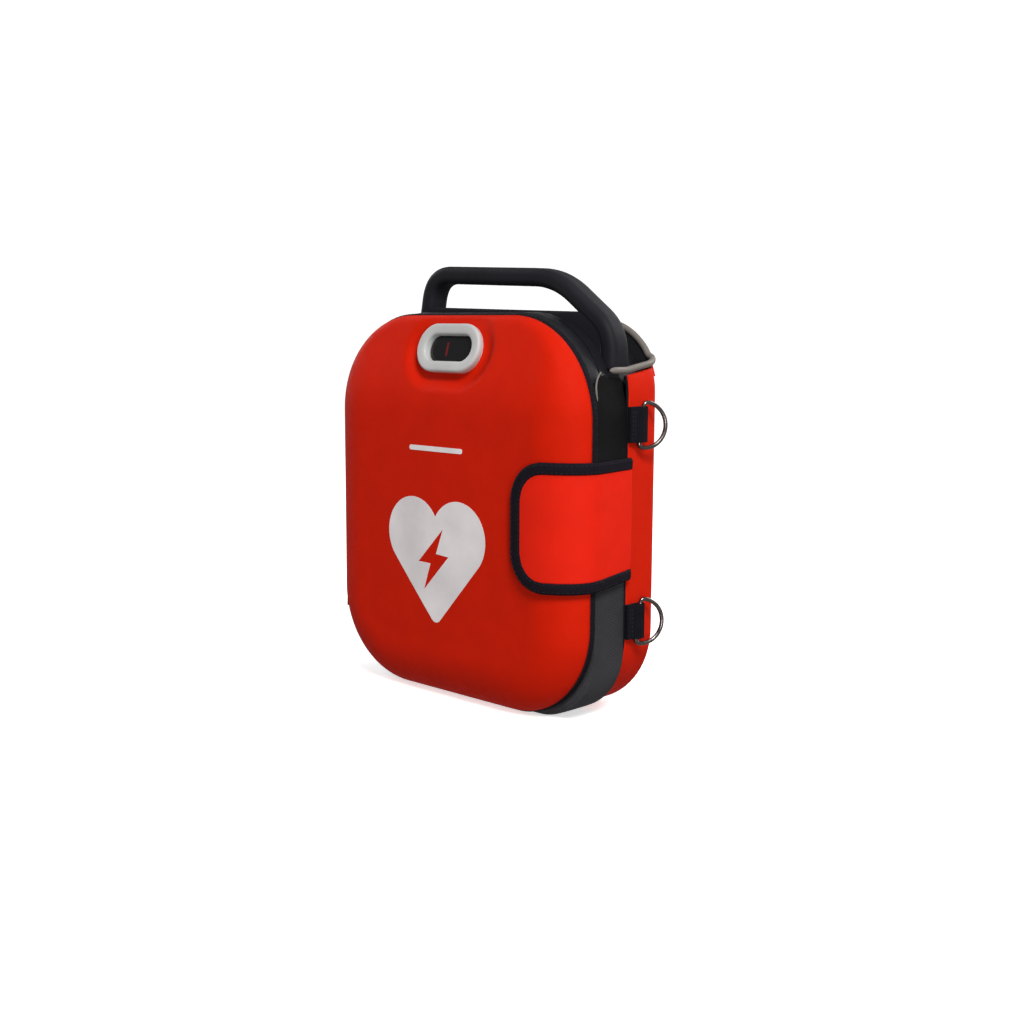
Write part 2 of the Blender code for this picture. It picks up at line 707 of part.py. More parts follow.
def make_housings():
    wall = HOUSING_WALL
    front = prism(
        device_outline(), "Y", DEVICE_FRONT_Y, DEVICE_SPLIT_Y, 2.0, at_high=False
    )
    face = add("device_front_housing", front, "black_plastic")
    hollow = prism(device_outline(wall), "Y", DEVICE_FRONT_Y + wall, DEVICE_SPLIT_Y + 9)
    cut(face, tool(hollow))
    for x, z, radius in (POWER_BUTTON, SHOCK_BUTTON, SPEAKER):
        cut(face, tool(drum("Y", x, z, -5, 12, radius + 0.8)))
    u0, u1, v0, v1 = BATTERY
    cut(face, tool(prism(soft_rectangle(u0 - 0.5, u1 + 0.5, v0 - 0.5, v1 + 0.5, 4), "Y", -5, 12)))
    u0, u1, v0, v1 = LATCH
    cut(face, tool(prism(rectangle(u0 + 5, u1 - 5, v0 - 1, v1 - 1), "Y", -5, 12)))
    length, height = DISPLAY_WINDOW
    hole = prism(rectangle(-length / 2, length / 2, -height / 2, height / 2), "Y", -5, 12)
    cut(face, tool(hole, (0, 0, WINDOW_Z)))
    cut(face, tool(drum("Y", *SOCKET, -5, 12, 7.4)))
    for x, z in SCREW_PLACES:
        cut(face, tool(drum("Y", x, z, -5, 12, 2.0, 12)))

    split = DEVICE_SPLIT_Y + GASKET
    back = prism(device_outline(), "Y", split, DEVICE_BACK_Y, 5.0, segments=3)
    rear = add("device_rear_housing", back, "black_plastic")
    hollow = prism(device_outline(wall), "Y", split - 9, DEVICE_BACK_Y - wall, 3.0)
    cut(rear, tool(hollow))
    for x, z in SCREW_PLACES:
        join(rear, tool(drum("Y", x, z, split + 2, DEVICE_BACK_Y - 1, 4.6, 12)))
        cut(rear, tool(drum("Y", x, z, split - 4, split + 22, 1.9, 12)))
    for x, z in board_corners():
        join(rear, tool(drum("Y", x, z, BOARD_Y + 1.9, DEVICE_BACK_Y - 1, 3.0, 10)))

    gasket = prism(device_outline(0.6), "Y", DEVICE_SPLIT_Y + GAP, split - GAP)
    seal = add("housing_gasket", gasket, "soft_grip")
    cut(seal, tool(prism(device_outline(wall - 0.3), "Y", 0, 30)))


def board_corners():
    u0, u1, v0, v1 = BOARD
    return [(u, v) for u in (u0 + 8, u1 - 8) for v in (v0 + 8, v1 - 8)]


def make_handle():
    wide, thick = HANDLE_SECTION
    section = soft_rectangle(-wide / 2, wide / 2, -thick / 2, thick / 2, 4.6, 3)
    path = bent_path(HANDLE_PATH, HANDLE_BENDS, HANDLE_Y)
    frame = add("handle_frame", curve_mesh(path, section=section), "black_plastic")
    join(frame, tool(prism(SADDLE, "Y", HANDLE_Y - wide / 2 + 0.6, HANDLE_Y + wide / 2 - 0.6)))
    body = prism(device_outline(-GAP), "Y", 0, 60)
    cut(frame, tool(body))

    (u0, v0), (u1, v1) = HANDLE_PATH[1], HANDLE_PATH[2]
    grip = []
    for u, height in ((0, 0), (1, 0), (1, GRIP_DEPTH), (0, GRIP_DEPTH)):
        level = v0 + (GRIP_SPAN[u] - u0) * (v1 - v0) / (u1 - u0) - thick / 2
        grip.append((GRIP_SPAN[u], level + height))
    (a, b, c, d), reach = grip, GRIP_WIDTH / 2
    add("handle_grip", prism(grip, "Y", HANDLE_Y - reach, HANDLE_Y + reach), "soft_grip")
    slot = []
    for (u, v), out, up in ((a, -GAP, -3), (b, GAP, -3), (c, GAP, GAP), (d, -GAP, GAP)):
        slot.append((u + out, v + up))
    cut(frame, tool(prism(slot, "Y", HANDLE_Y - reach - GAP, HANDLE_Y + reach + GAP)))
    for name, x, z in (("left", -63.0, 242.6), ("right", 90.0, 223.5)):
        head_top = z - 13.5 if name == "right" else z - 4.5
        shank = drum("Z", x, HANDLE_Y, head_top - 1, z + 9, 2.0, 12)
        screw = add(f"handle_screw_{name}", shank, "steel")
        join(screw, tool(drum("Z", x, HANDLE_Y, head_top - 3.6, head_top, 4.0, 12)))
        clearance = drum("Z", x, HANDLE_Y, head_top - 0.5, z + 10, 2.4, 12)
        for name_of_part in ("handle_frame", "device_rear_housing"):
            cut(bpy.data.objects[name_of_part], tool(clearance.copy()))


def make_controls():
    """What the user meets when the cover is open."""
    front = DEVICE_FRONT_Y
    u0, u1, v0, v1 = PANEL
    panel = add(
        "control_panel",
        prism(soft_rectangle(u0, u1, v0, v1, 10, 4), "Y", front - 1.4, front - GAP),
        "panel_grey",
    )
    for x, z, radius in (POWER_BUTTON, SHOCK_BUTTON, SPEAKER):
        extra = 4.4 if (x, z, radius) == SHOCK_BUTTON else 0.8
        cut(panel, tool(drum("Y", x, z, -5, 12, radius + extra)))

    for name, (x, z, radius), finish in (
        ("power_button", POWER_BUTTON, "green"),
        ("shock_button", SHOCK_BUTTON, "orange"),
    ):
        pivot = empty(f"{name}_pivot", (x, front - BUTTON_RISE, z), origin)
        cap = drum("Y", x, z, front - BUTTON_RISE, front + 4, radius, 28)
        button = add(name, cap, finish, pivot)
        round_edges(button, 1.0)
    x, z, radius = SHOCK_BUTTON
    halo = add("shock_light_ring", drum("Y", x, z, front - 3, front - GAP, radius + 4, 28), "clear")
    cut(halo, tool(drum("Y", x, z, -9, 9, radius + 0.8, 28)))

    x, z, radius = SPEAKER
    speaker = add("speaker", drum("Y", x, z, front + 0.4, front + 9, radius, 24), "black_plastic")
    cut(speaker, tool(drum("Y", x, z, -5, front + 2.5, 3.0, 16, tip=radius - 2)))

    wide, high = DISPLAY_FRAME
    rim = soft_rectangle(-wide / 2, wide / 2, WINDOW_Z - high / 2, WINDOW_Z + high / 2, 5, 3)
    frame = add("display_frame", prism(rim, "Y", front - 3, front - GAP), "black_plastic")
    length, height = DISPLAY_WINDOW
    hole = prism(rectangle(-length / 2, length / 2, -height / 2, height / 2), "Y", -9, 9)
    cut(frame, tool(hole, (0, 0, WINDOW_Z)))
    screen = block(
        (-length / 2 + 0.5, front - 1.5, WINDOW_Z - height / 2 + 0.5),
        (length / 2 - 0.5, front + 6, WINDOW_Z + height / 2 - 0.5),
    )
    add("display_module", screen, "lens")

    u0, u1, v0, v1 = BATTERY
    pack = prism(soft_rectangle(u0, u1, v0, v1, 4), "Y", front - 0.6, 40, 1.0, at_high=False)
    add("battery_pack", pack, "battery_grey")
    u0, u1, v0, v1 = LATCH
    slider = prism(soft_rectangle(u0, u1, v0, v1, 2), "Y", front - 3.4, front - GAP)
    latch = add("battery_latch", slider, "orange", empty("latch_pivot", (0, front, v0), origin))
    join(latch, tool(block((u0 + 5.5, front - 1, v0 + 1.8), (u1 - 5.5, front + 4, v1 - 4.5))))

    for i, (x, z) in enumerate(SCREW_PLACES, 1):
        shank = drum("Y", x, z, front - 1.2, front + 24, 1.5, 12)
        screw = add(f"housing_screw_{i}", shank, "steel")
        join(screw, tool(drum("Y", x, z, front - 2.2, front - GAP, 3.4, 12)))


def make_electrodes():
    front = DEVICE_FRONT_Y
    u0, u1, v0, v1 = POUCH
    outline = soft_rectangle(u0, u1, v0, v1, 6)
    pouch = prism(outline, "Y", front - 9, front - GAP, 2, at_high=False)
    add("electrode_pouch", pouch, "foil")
    x, z = SOCKET
    add("electrode_socket", drum("Y", x, z, front - 1.5, front + 9, 7.0, 20), "black_plastic")
    cut(bpy.data.objects["electrode_socket"], tool(drum("Y", x, z, -9, front + 5, 4.6, 16)))
    plug = add("electrode_plug", drum("Y", x, z, front - 8, front + 4, 4.2, 16), "panel_grey")
    join(plug, tool(drum("Y", x, z, front - 9, front - 2, 6.0, 16)))
    lead_y = front - 5.6
    start, end = x + 6.3 + GAP, u0 - 0.6
    lead = []
    for i in range(11):
        t = i / 10
        lead.append((start + (end - start) * t, lead_y, z - 8 * smooth_step(0, 1, t)))
    add("electrode_lead", curve_mesh(lead, LEAD_RADIUS), "panel_grey")


def make_electronics():
    u0, u1, v0, v1 = BOARD
    add("main_board", block((u0, BOARD_Y, v0), (u1, BOARD_Y + 1.6, v1)), "board_green")
    behind = BOARD_Y + 1.9
    add("hv_capacitor", drum("X", behind + 14, 100, -66, -6, 14, 24), "capacitor_sleeve")
    core = block((14, behind, 84), (50, behind + 24, 114))
    add("transformer", core, "copper")
    round_edges(bpy.data.objects["transformer"], 2.0)
    add("discharge_relay", block((-60, behind, 136), (-28, behind + 16, 160)), "black_plastic")
    add("heat_sink", block((10, behind, 134), (60, behind + 18, 168)), "steel")
    for i in range(4):
        u = 17 + 10 * i
        slot = block((u, behind + 5, 130), (u + 5, behind + 30, 172))
        cut(bpy.data.objects["heat_sink"], tool(slot))


clear_scene()
parts = collection("defibrillator")
cutters = collection("cutters")
cutters.hide_render = True
deepest = DOME_DEPTH + FLAP_OFFSET + FLAP_THICKNESS
origin = empty("case_origin", (0, (deepest - BACK_Y) / 2, 0))
make_case()
make_cover()
make_flap()
make_housings()
make_controls()
make_handle()
make_electrodes()
make_electronics()
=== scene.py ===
"""Looks for the defibrillator in its carrying case: fabric, foam, webbing, plastic and metal.

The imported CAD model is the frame. Soft pieces are rebuilt here as finer, softer shapes in the
place of their CAD nodes, and hard pieces keep their CAD shape with softened edges. Lengths are
millimetres in the case's own frame, whose y = 0 is the plane of the cover's rim.
"""

import math

import bmesh
import bpy
from mathutils import Matrix, Vector
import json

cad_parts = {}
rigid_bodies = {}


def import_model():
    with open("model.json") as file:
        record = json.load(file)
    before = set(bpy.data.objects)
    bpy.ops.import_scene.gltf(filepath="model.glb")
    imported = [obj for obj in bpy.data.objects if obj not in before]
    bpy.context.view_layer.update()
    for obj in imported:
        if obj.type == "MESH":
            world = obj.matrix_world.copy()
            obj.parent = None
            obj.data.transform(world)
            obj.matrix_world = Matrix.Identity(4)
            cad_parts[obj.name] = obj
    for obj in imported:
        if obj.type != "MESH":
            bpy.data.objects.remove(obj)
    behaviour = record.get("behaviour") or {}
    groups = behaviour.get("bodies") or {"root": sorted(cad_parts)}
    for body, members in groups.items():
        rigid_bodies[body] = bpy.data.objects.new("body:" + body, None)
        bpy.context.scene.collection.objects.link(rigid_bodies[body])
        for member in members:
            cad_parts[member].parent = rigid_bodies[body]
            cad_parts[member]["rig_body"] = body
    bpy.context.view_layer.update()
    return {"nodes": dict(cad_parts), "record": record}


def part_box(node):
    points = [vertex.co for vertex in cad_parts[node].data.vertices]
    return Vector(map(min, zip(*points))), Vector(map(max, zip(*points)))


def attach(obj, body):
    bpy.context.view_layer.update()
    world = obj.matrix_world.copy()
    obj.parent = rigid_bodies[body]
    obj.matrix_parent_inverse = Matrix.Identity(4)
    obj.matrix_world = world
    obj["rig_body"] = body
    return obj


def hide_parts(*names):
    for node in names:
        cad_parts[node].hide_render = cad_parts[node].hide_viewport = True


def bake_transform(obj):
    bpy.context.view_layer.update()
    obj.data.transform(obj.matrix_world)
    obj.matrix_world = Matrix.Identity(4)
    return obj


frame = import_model()
MM = 0.001
BAND_FRONT = 1.3
RIM_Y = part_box("gusset_band")[0].y - BAND_FRONT * MM

# The case's outline, dome and seams, as the CAD model has them.
HALF_WIDTH, HEIGHT = 109.0, 245.0
TOP_RADIUS, BOTTOM_RADIUS = 63.0, 61.0
SHELL_HEIGHT, SHELL_TOP_RADIUS, SHELL_BOTTOM_RADIUS = 243.0, 45.0, 52.0
BAND_BOTTOM_RADIUS = 44.0
SEAM_Y, BACK_Y, BACK_ROUNDING = 28.6, 60.0, 9.0
SHELL_CUT, BAND_CUT = (209.3, 214.0), (203.0, 210.0)
TRIM_RADIUS, TRIM_START_Y = 2.0, 14.0
DOME_DEPTH, DOME_FALL, RIM_DEPTH = 23.2, 33.0, 3.4
SLOPE_DEPTH, SLOPE_PER_MM, BLEND = 14.0, 0.325, 4.0
WINDOW_Z, WINDOW_TILT, SEAT_DEPTH = 224.0, math.radians(16), 12.0
RING_SIZE, WINDOW_SIZE, WINDOW_HOLE = (55.0, 31.0), (39.0, 19.0), (43.2, 19.2)
SCOOP_START, SCOOP_REACH, SCOOP_EXTRA = 3.8, 13.0, 1.9
CROWN, CROWN_REACH, CROWN_Z = 0.7, (62.0, 72.0), 112.0
FILM_THICKNESS, EMBLEM_X = 0.12, -2.5
COVER_MIDDLE_Z, SHELL_MIDDLE_Z = 122.0, 121.0
FLAP_LOW, FLAP_HIGH, FLAP_SEAM_LOW, FLAP_SEAM_HIGH = 82.0, 160.0, 87.0, 160.8
FLAP_EDGE_X, FLAP_CORNER, FLAP_BORDER, FLAP_FRONT_BORDER = 65.5, 24.0, 6.8, 8.8
FLAP_TOP, FLAP_MIDDLE_Z, FLAP_HALF_HEIGHT = 4.1, 121.0, 39.0
LOOP_HEIGHTS, LOOP_WIDTH = {"upper": 180.0, "lower": 60.5}, 21.4
BAR_X, BAR_Y, RING_WIRE = 112.0, 37.5, 1.3
RING_HALF_HEIGHT, RING_REACH = 15.0, 17.5
RING_LEAN, RING_SWING = math.radians(10), math.radians(25)
STRAP_X = 109.75
HINGE_LOW, HINGE_HIGH, HINGE_EASE, HINGE_SEAM_X = 44.0, 180.0, 12.0, -109.2
PANEL_LOW, PANEL_INSET, PANEL_FAN_Z = 206.0, 3.0, 190.0
HANDLE_Y = 31.0


def place(x, y, z):
    return Vector((x * MM, y * MM + RIM_Y, z * MM))


# --- Camera, lights and floor ---


def add(name, data):
    made = bpy.data.objects.new(name, data)
    bpy.context.scene.collection.objects.link(made)
    return made


def stand_at(made, spot, direction):
    made.location = spot
    made.rotation_mode = "QUATERNION"
    made.rotation_quaternion = Vector(direction).to_track_quat("-Z", "Y")


def make_camera():
    data = bpy.data.cameras.new("camera")
    data.lens = 49.2
    data.shift_x = 0.0459
    data.shift_y = -0.0034
    data.clip_start = 0.01
    camera = add("camera", data)
    stand_at(camera, (0.6332, -0.63855, 0.2436), (-0.7067, 0.6944, -0.1357))
    bpy.context.scene.camera = camera
    bpy.context.scene.view_settings.view_transform = "Standard"


def make_light(name, spot, aim, size, power):
    data = bpy.data.lights.new(name, "AREA")
    data.shape = "DISK"
    data.size = size
    data.energy = power
    stand_at(add(name, data), spot, Vector(aim) - Vector(spot))


def make_studio():
    """A round floor that rises into a wall, four soft lights and a pale sky."""
    reach, bend = 2.0, 0.9
    profile = [(reach * i / 4, 0.0) for i in range(5)]
    for i in range(1, 13):
        turn = math.radians(90 * i / 12)
        profile.append((reach + bend * math.sin(turn), bend - bend * math.cos(turn)))
    profile += [(2.9, 1.6), (2.9, 2.6)]
    rows = []
    for i in range(64):
        turn = 2 * math.pi * i / 64
        rows.append([Vector((r * math.cos(turn), r * math.sin(turn), z)) for r, z in profile])
    floor = loft("studio_floor", rows, [paper], closed_rows=True)
    floor.visible_diffuse = False
    floor.visible_glossy = False
    make_light("key", (1.15, -0.72, 1.4), (0, 0, 0.12), 0.6, 27)
    make_light("rear", (0.3, 1.7, 1.1), (0, 0, 0.12), 1.2, 20)
    make_light("side", (-1.7, 0.1, 0.8), (0, 0, 0.12), 1.0, 10)
    make_light("low", (1.3, -0.8, 0.16), (0, 0, 0.08), 0.3, 5)
    world = bpy.data.worlds.new("sky")
    world.use_nodes = True
    sky = world.node_tree.nodes["Background"]
    sky.inputs["Color"].default_value = (1, 1, 1, 1)
    sky.inputs["Strength"].default_value = 0.32
    bpy.context.scene.world = world


# --- Materials ---


def shade(colour, factor):
    return tuple(min(channel * factor, 1.0) for channel in colour)


# A wave texture of this scale over a size in metres has one stripe to that size.
WAVE_SCALE = 0.314


class Finish:
    """A Principled material being built, with a few short ways to add nodes to it."""

    def __init__(self, name, roughness, metallic=0.0, space="Object"):
        self.material = bpy.data.materials.new(name)
        self.material.use_nodes = True
        self.tree = self.material.node_tree
        self.shader = self.tree.nodes["Principled BSDF"]
        self.set("Roughness", roughness)
        self.set("Metallic", metallic)
        self.coords = self.tree.nodes.new("ShaderNodeTexCoord").outputs[space]

    def feed(self, socket, value):
        if hasattr(value, "is_linked"):
            self.tree.links.new(value, socket)
        else:
            socket.default_value = value

    def node(self, kind, settings=None, **values):
        made = self.tree.nodes.new("ShaderNode" + kind)
        for key, value in (settings or {}).items():
            setattr(made, key, value)
        for key, value in values.items():
            self.feed(made.inputs[key], value)
        return made

    def turned(self, angle):
        """The coordinates turned by the angle about their second and third axes."""
        made = self.node("Mapping", Vector=self.coords)
        made.inputs["Rotation"].default_value = (0, angle, angle)
        return made.outputs[0]

    def noise(self, size, detail=3.0):
        """Noise whose features are about size metres across."""
        made = self.node("TexNoise", Vector=self.coords, Scale=1 / size, Detail=detail)
        return made.outputs["Fac"]

    def cells(self, size):
        """Rounded cells about size metres across."""
        made = self.node("TexVoronoi", Vector=self.coords, Scale=1 / size)
        return made.outputs["Distance"]

    def bands(self, size, direction, coords=None, distortion=0.0):
        """Soft stripes, one to every size metres."""
        settings = {"wave_type": "BANDS", "bands_direction": direction}
        made = self.node("TexWave", settings, Vector=coords or self.coords, Distortion=distortion)
        made.inputs["Scale"].default_value = WAVE_SCALE / size
        return made.outputs["Fac"]

    def maths(self, operation, *values):
        made = self.node("Math", {"operation": operation})
        for socket, value in zip(made.inputs, values):
            self.feed(socket, value)
        return made.outputs[0]

    def ramp(self, value, low, high, start=0.3, end=0.7):
        """Greys or colours from low to high, as the value goes from start to end."""
        made = self.node("ValToRGB", Fac=value)
        first, last = made.color_ramp.elements
        first.position, last.position = start, end
        for stop, tone in ((first, low), (last, high)):
            stop.color = (*tone, 1) if hasattr(tone, "__len__") else (tone, tone, tone, 1)
        return made.outputs["Color"]

    def set(self, name, value):
        """Gives the shader a constant or another node's output."""
        self.feed(self.shader.inputs[name], value)

    def tint(self, colour, value, low, high, *ends):
        """The colour, from low times as bright to high times as bright."""
        self.set("Base Color", self.ramp(value, shade(colour, low), shade(colour, high), *ends))

    def bump(self, height, depth, under=None):
        """Relief of the given depth in metres, over another relief where given."""
        made = self.node("Bump", Height=height, Strength=1.0, Distance=depth)
        if under:
            self.feed(made.inputs["Normal"], under)
        return made.outputs["Normal"]


def knit(name, colour, space="Object", thread=0.00055, sheen=0.02, roughness=0.6):
    """Smooth knitted fabric over foam: fine diagonal stitches, soft waves and faint mottling."""
    made = Finish(name, roughness, space=space)
    made.tint(colour, made.noise(0.018, 4), 0.96, 1.04)
    made.set("Roughness", made.ramp(made.noise(0.004), roughness - 0.06, roughness + 0.1))
    left = made.bands(thread, "DIAGONAL", made.turned(0.0), 0.6)
    right = made.bands(thread, "DIAGONAL", made.turned(math.radians(90)), 0.6)
    stitch = made.maths("MULTIPLY", left, right)
    waves = made.bump(made.noise(0.011, 2), 0.00008)
    made.set("Normal", made.bump(stitch, 0.00006, waves))
    made.set("Sheen Weight", sheen)
    made.set("Sheen Roughness", 0.45)
    made.set("Sheen Tint", (*shade(colour, 1.2), 1))
    made.set("Specular IOR Level", 0.06)
    return made.material


def weave(name, colour, size, space="Object", depth=0.00016, painted_top_shade=False):
    """Coarse plain weave, as in binding tape and webbing; the shaded one is painted darker towards its
    top, a painted shade.
    """
    made = Finish(name, 0.78, space=space)
    across = made.bands(size, "X", distortion=0.3)
    along = made.bands(size, "Y" if space == "UV" else "Z", distortion=0.3)
    third = made.bands(size, "Y", distortion=0.3) if space == "Object" else along
    over, under = made.maths("MULTIPLY", across, along), made.maths("MULTIPLY", along, third)
    threads = made.maths("MAXIMUM", over, under)
    tone = made.maths("MULTIPLY", threads, made.noise(0.006, 3))
    darkest, palest = 0.65, 1.5
    if painted_top_shade:
        patches = made.maths("MULTIPLY_ADD", made.noise(0.03, 3), 0.3, 0.35)
        tone = made.maths("MULTIPLY", made.maths("MULTIPLY_ADD", threads, 0.5, 0.35), patches)
        # Painted shade: the tone falls with height, so the cloth is darker towards its top.
        where = made.node("TexCoord").outputs["Object"]
        height = made.node("SeparateXYZ", Vector=where).outputs["Z"]
        at_ground, per_metre = 1.35, -6.0
        painted_shade = made.maths("MULTIPLY_ADD", height, per_metre, at_ground)
        tone = made.maths("MULTIPLY", tone, painted_shade)
        darkest, palest = 0.08, 1.6
    made.tint(colour, tone, darkest, palest, 0.1, 0.6)
    folds = made.bump(made.noise(0.012, 2), 0.0002)
    made.set("Normal", made.bump(threads, depth, folds))
    made.set("Specular IOR Level", 0.1)
    return made.material


def plastic(name, colour, roughness, grain=0.00045, depth=0.00003, gloss=0.25):
    """Moulded plastic with a fine spark-eroded grain, worn a little smoother in patches."""
    made = Finish(name, roughness)
    made.tint(colour, made.noise(0.03, 4), 0.9, 1.12)
    made.set("Roughness", made.ramp(made.noise(0.012, 5), roughness - 0.08, roughness + 0.1))
    made.set("Normal", made.bump(made.cells(grain), depth))
    made.set("Specular IOR Level", gloss)
    return made.material


def metal(name, colour, roughness):
    """Plated wire or screws, with smudges and fine drawn lines."""
    made = Finish(name, roughness, 1.0)
    made.tint(colour, made.noise(0.008, 3), 0.8, 1.15)
    made.set("Roughness", made.ramp(made.noise(0.005, 6), roughness - 0.06, roughness + 0.16))
    made.set("Normal", made.bump(made.noise(0.0008, 2), 0.00001))
    return made.material


def pile(name, colour):
    """Hook-and-loop tape: a dense field of tiny curled fibres."""
    made = Finish(name, 0.95)
    fibres = made.cells(0.0007)
    made.tint(colour, fibres, 0.5, 2.2, 0.2, 0.9)
    made.set("Normal", made.bump(made.maths("ADD", fibres, made.noise(0.0006, 5)), 0.0004))
    made.set("Sheen Weight", 0.1)
    made.set("Specular IOR Level", 0.1)
    return made.material


def window_glass():
    """Dark smoked window with a faint upright status mark behind it."""
    made = Finish("status_window", 0.12)
    made.set("Roughness", made.ramp(made.noise(0.01, 4), 0.08, 0.2))
    mark_x, mark_z, half_width, half_height = 0.0035, 0.2235, 0.0008, 0.0042
    apart = made.node("SeparateXYZ", Vector=made.coords)
    sideways = made.maths("ABSOLUTE", made.maths("ADD", apart.outputs["X"], mark_x))
    upright = made.maths("ABSOLUTE", made.maths("SUBTRACT", apart.outputs["Z"], mark_z))
    narrow = made.maths("LESS_THAN", sideways, half_width)
    short = made.maths("LESS_THAN", upright, half_height)
    mark = made.maths("MULTIPLY", narrow, short)
    made.set("Base Color", made.ramp(mark, (0.006, 0.005, 0.006), (0.16, 0.006, 0.008), 0.0, 1.0))
    made.set("Specular IOR Level", 0.3)
    return made.material


def foil(name):
    """Laminated pouch film, crinkled and half glossy."""
    made = Finish(name, 0.3, 0.55)
    made.set("Base Color", made.ramp(made.noise(0.02, 4), (0.42, 0.44, 0.47), (0.66, 0.68, 0.71)))
    creases = made.bump(made.noise(0.012, 6), 0.0012)
    made.set("Normal", made.bump(made.cells(0.0016), 0.00005, creases))
    made.set("Roughness", made.ramp(made.noise(0.006, 4), 0.22, 0.42))
    return made.material


def ribbed(name, colour, pitch, depth):
    """Soft rubber with straight ribs across its length."""
    made = Finish(name, 0.8)
    made.tint(colour, made.noise(0.01, 4), 0.8, 1.3)
    ribs = made.bump(made.bands(pitch, "X"), depth)
    made.set("Normal", made.bump(made.noise(0.0006, 3), 0.00003, ribs))
    return made.material


def board(name):
    """Solder resist with faint copper tracks under it."""
    made = Finish(name, 0.35)
    tracks = made.node("TexBrick", Vector=made.coords, Scale=90.0).outputs["Fac"]
    made.set("Base Color", made.ramp(tracks, (0.01, 0.13, 0.05), (0.05, 0.32, 0.12)))
    made.set("Normal", made.bump(tracks, 0.00004))
    return made.material


def backdrop_paper():
    made = Finish("studio_paper", 0.9)
    made.set("Base Color", made.ramp(made.noise(0.4, 2), (0.90, 0.90, 0.90), (0.93, 0.93, 0.93)))
    made.set("Specular IOR Level", 0.1)
    made.set("Emission Color", (1, 1, 1, 1))
    made.set("Emission Strength", 0.6)
    return made.material


# --- Shapes ---


FIRST, LAST = "first", "last"
BOTH = (FIRST, LAST)


def new_object(name, mesh, finishes, sharp=None):
    for finish in finishes:
        mesh.materials.append(finish)
    for polygon in mesh.polygons:
        polygon.use_smooth = True
    if sharp:
        mesh.set_sharp_from_angle(angle=math.radians(sharp))
    return add(name, mesh)


def loft(
    name, rows, finishes, closed_points=False, closed_rows=False, caps=(), sharp=None, keep=None
):
    """A surface through rows of points, with texture coordinates in metres along it.

    caps names the rows to close with a face, and keep says which faces stay, by their middle.
    """
    count, points, across = len(rows), [], len(rows[0])
    for row in rows:
        points.extend(row)
    faces = []
    for i in range(count if closed_rows else count - 1):
        for k in range(across if closed_points else across - 1):
            a, b = i * across, (i + 1) % count * across
            corners = (a + k, a + (k + 1) % across, b + (k + 1) % across, b + k)
            if keep is None or keep(sum((points[c] for c in corners), Vector()) / 4):
                faces.append(corners)
    if FIRST in caps:
        faces.append(tuple(range(across))[::-1])
    if LAST in caps:
        faces.append(tuple((count - 1) * across + k for k in range(across)))
    mesh = bpy.data.meshes.new(name)
    mesh.from_pydata(points, [], faces)
    lengths = [0.0]
    for row, after in zip(rows, rows[1:]):
        lengths.append(lengths[-1] + (after[across // 2] - row[across // 2]).length)
    widths = [0.0]
    for point, after in zip(rows[count // 2], rows[count // 2][1:]):
        widths.append(widths[-1] + (after - point).length)
    layer = mesh.uv_layers.new(name="UVMap")
    for loop, uv in zip(mesh.loops, layer.data):
        uv.uv = (lengths[loop.vertex_index // across], widths[loop.vertex_index % across])
    clean(mesh)
    return new_object(name, mesh, finishes, sharp)


def solid(name, rows, finishes, sharp=None):
    return loft(name, rows, finishes, closed_points=True, caps=BOTH, sharp=sharp)


def hoop(name, rows, finish, sharp=None):
    return loft(name, rows, [finish], closed_points=True, closed_rows=True, sharp=sharp)


def clean(mesh):
    bm = bmesh.new()
    bm.from_mesh(mesh)
    bmesh.ops.recalc_face_normals(bm, faces=bm.faces)
    bm.to_mesh(mesh)
    bm.free()


def flip_if(made, direction):
    """Turns the surface round where its faces look away from direction on average."""
    total = Vector()
    for polygon in made.data.polygons:
        total += polygon.normal * polygon.area
    if total.dot(Vector(direction)) < 0:
        made.data.flip_normals()


def thicken(made, thickness, inner=0, rim=0, offset=-1.0):
    wall = made.modifiers.new("Wall", "SOLIDIFY")
    wall.thickness = thickness * MM
    wall.offset = offset
    wall.material_offset = inner
    wall.material_offset_rim = rim


def soften(made, width, segments=2):
    bevel = made.modifiers.new("Edges", "BEVEL")
    bevel.width = width * MM
    bevel.segments = segments
    bevel.limit_method = "ANGLE"
    bevel.angle_limit = math.radians(30)
    bevel.harden_normals = True


def settle(made, body, slot, *nodes):
    """Rides on a body and stands for CAD nodes, which it hides; the slot is not used."""
    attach(made, body)
    stand_for(made, slot, *nodes)


def stand_for(made, slot, *nodes):
    if nodes:
        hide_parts(*nodes)


def between(a, b, share):
    return (a[0] + (b[0] - a[0]) * share, a[1] + (b[1] - a[1]) * share)


def arc(cx, cy, radius, start, end, steps):
    turns = [math.radians(start + (end - start) * i / steps) for i in range(steps + 1)]
    return [(cx + radius * math.cos(a), cy + radius * math.sin(a)) for a in turns]


def rounded(half_width, low, high, low_radius, high_radius, steps=20, spans=(12, 24, 12, 24)):
    """A closed rounded rectangle with points along its sides, from the lower left corner."""
    lx, hx = half_width - low_radius, half_width - high_radius
    corners = (
        arc(-lx, low + low_radius, low_radius, 180, 270, steps),
        arc(lx, low + low_radius, low_radius, 270, 360, steps),
        arc(hx, high - high_radius, high_radius, 0, 90, steps),
        arc(-hx, high - high_radius, high_radius, 90, 180, steps),
    )
    outline = []
    for i, corner in enumerate(corners):
        outline += corner
        start, end = corner[-1], corners[(i + 1) % 4][0]
        outline += [between(start, end, k / spans[i]) for k in range(1, spans[i])]
    return outline


def case_outline(inset):
    sizes = (HALF_WIDTH - inset, inset, HEIGHT - inset, BOTTOM_RADIUS - inset, TOP_RADIUS - inset)
    return rounded(*sizes, steps=24, spans=(24, 36, 60, 36))


def shell_outline(inset):
    radii = (SHELL_BOTTOM_RADIUS - inset, SHELL_TOP_RADIUS - inset)
    return rounded(HALF_WIDTH - inset, inset, SHELL_HEIGHT - inset, *radii)


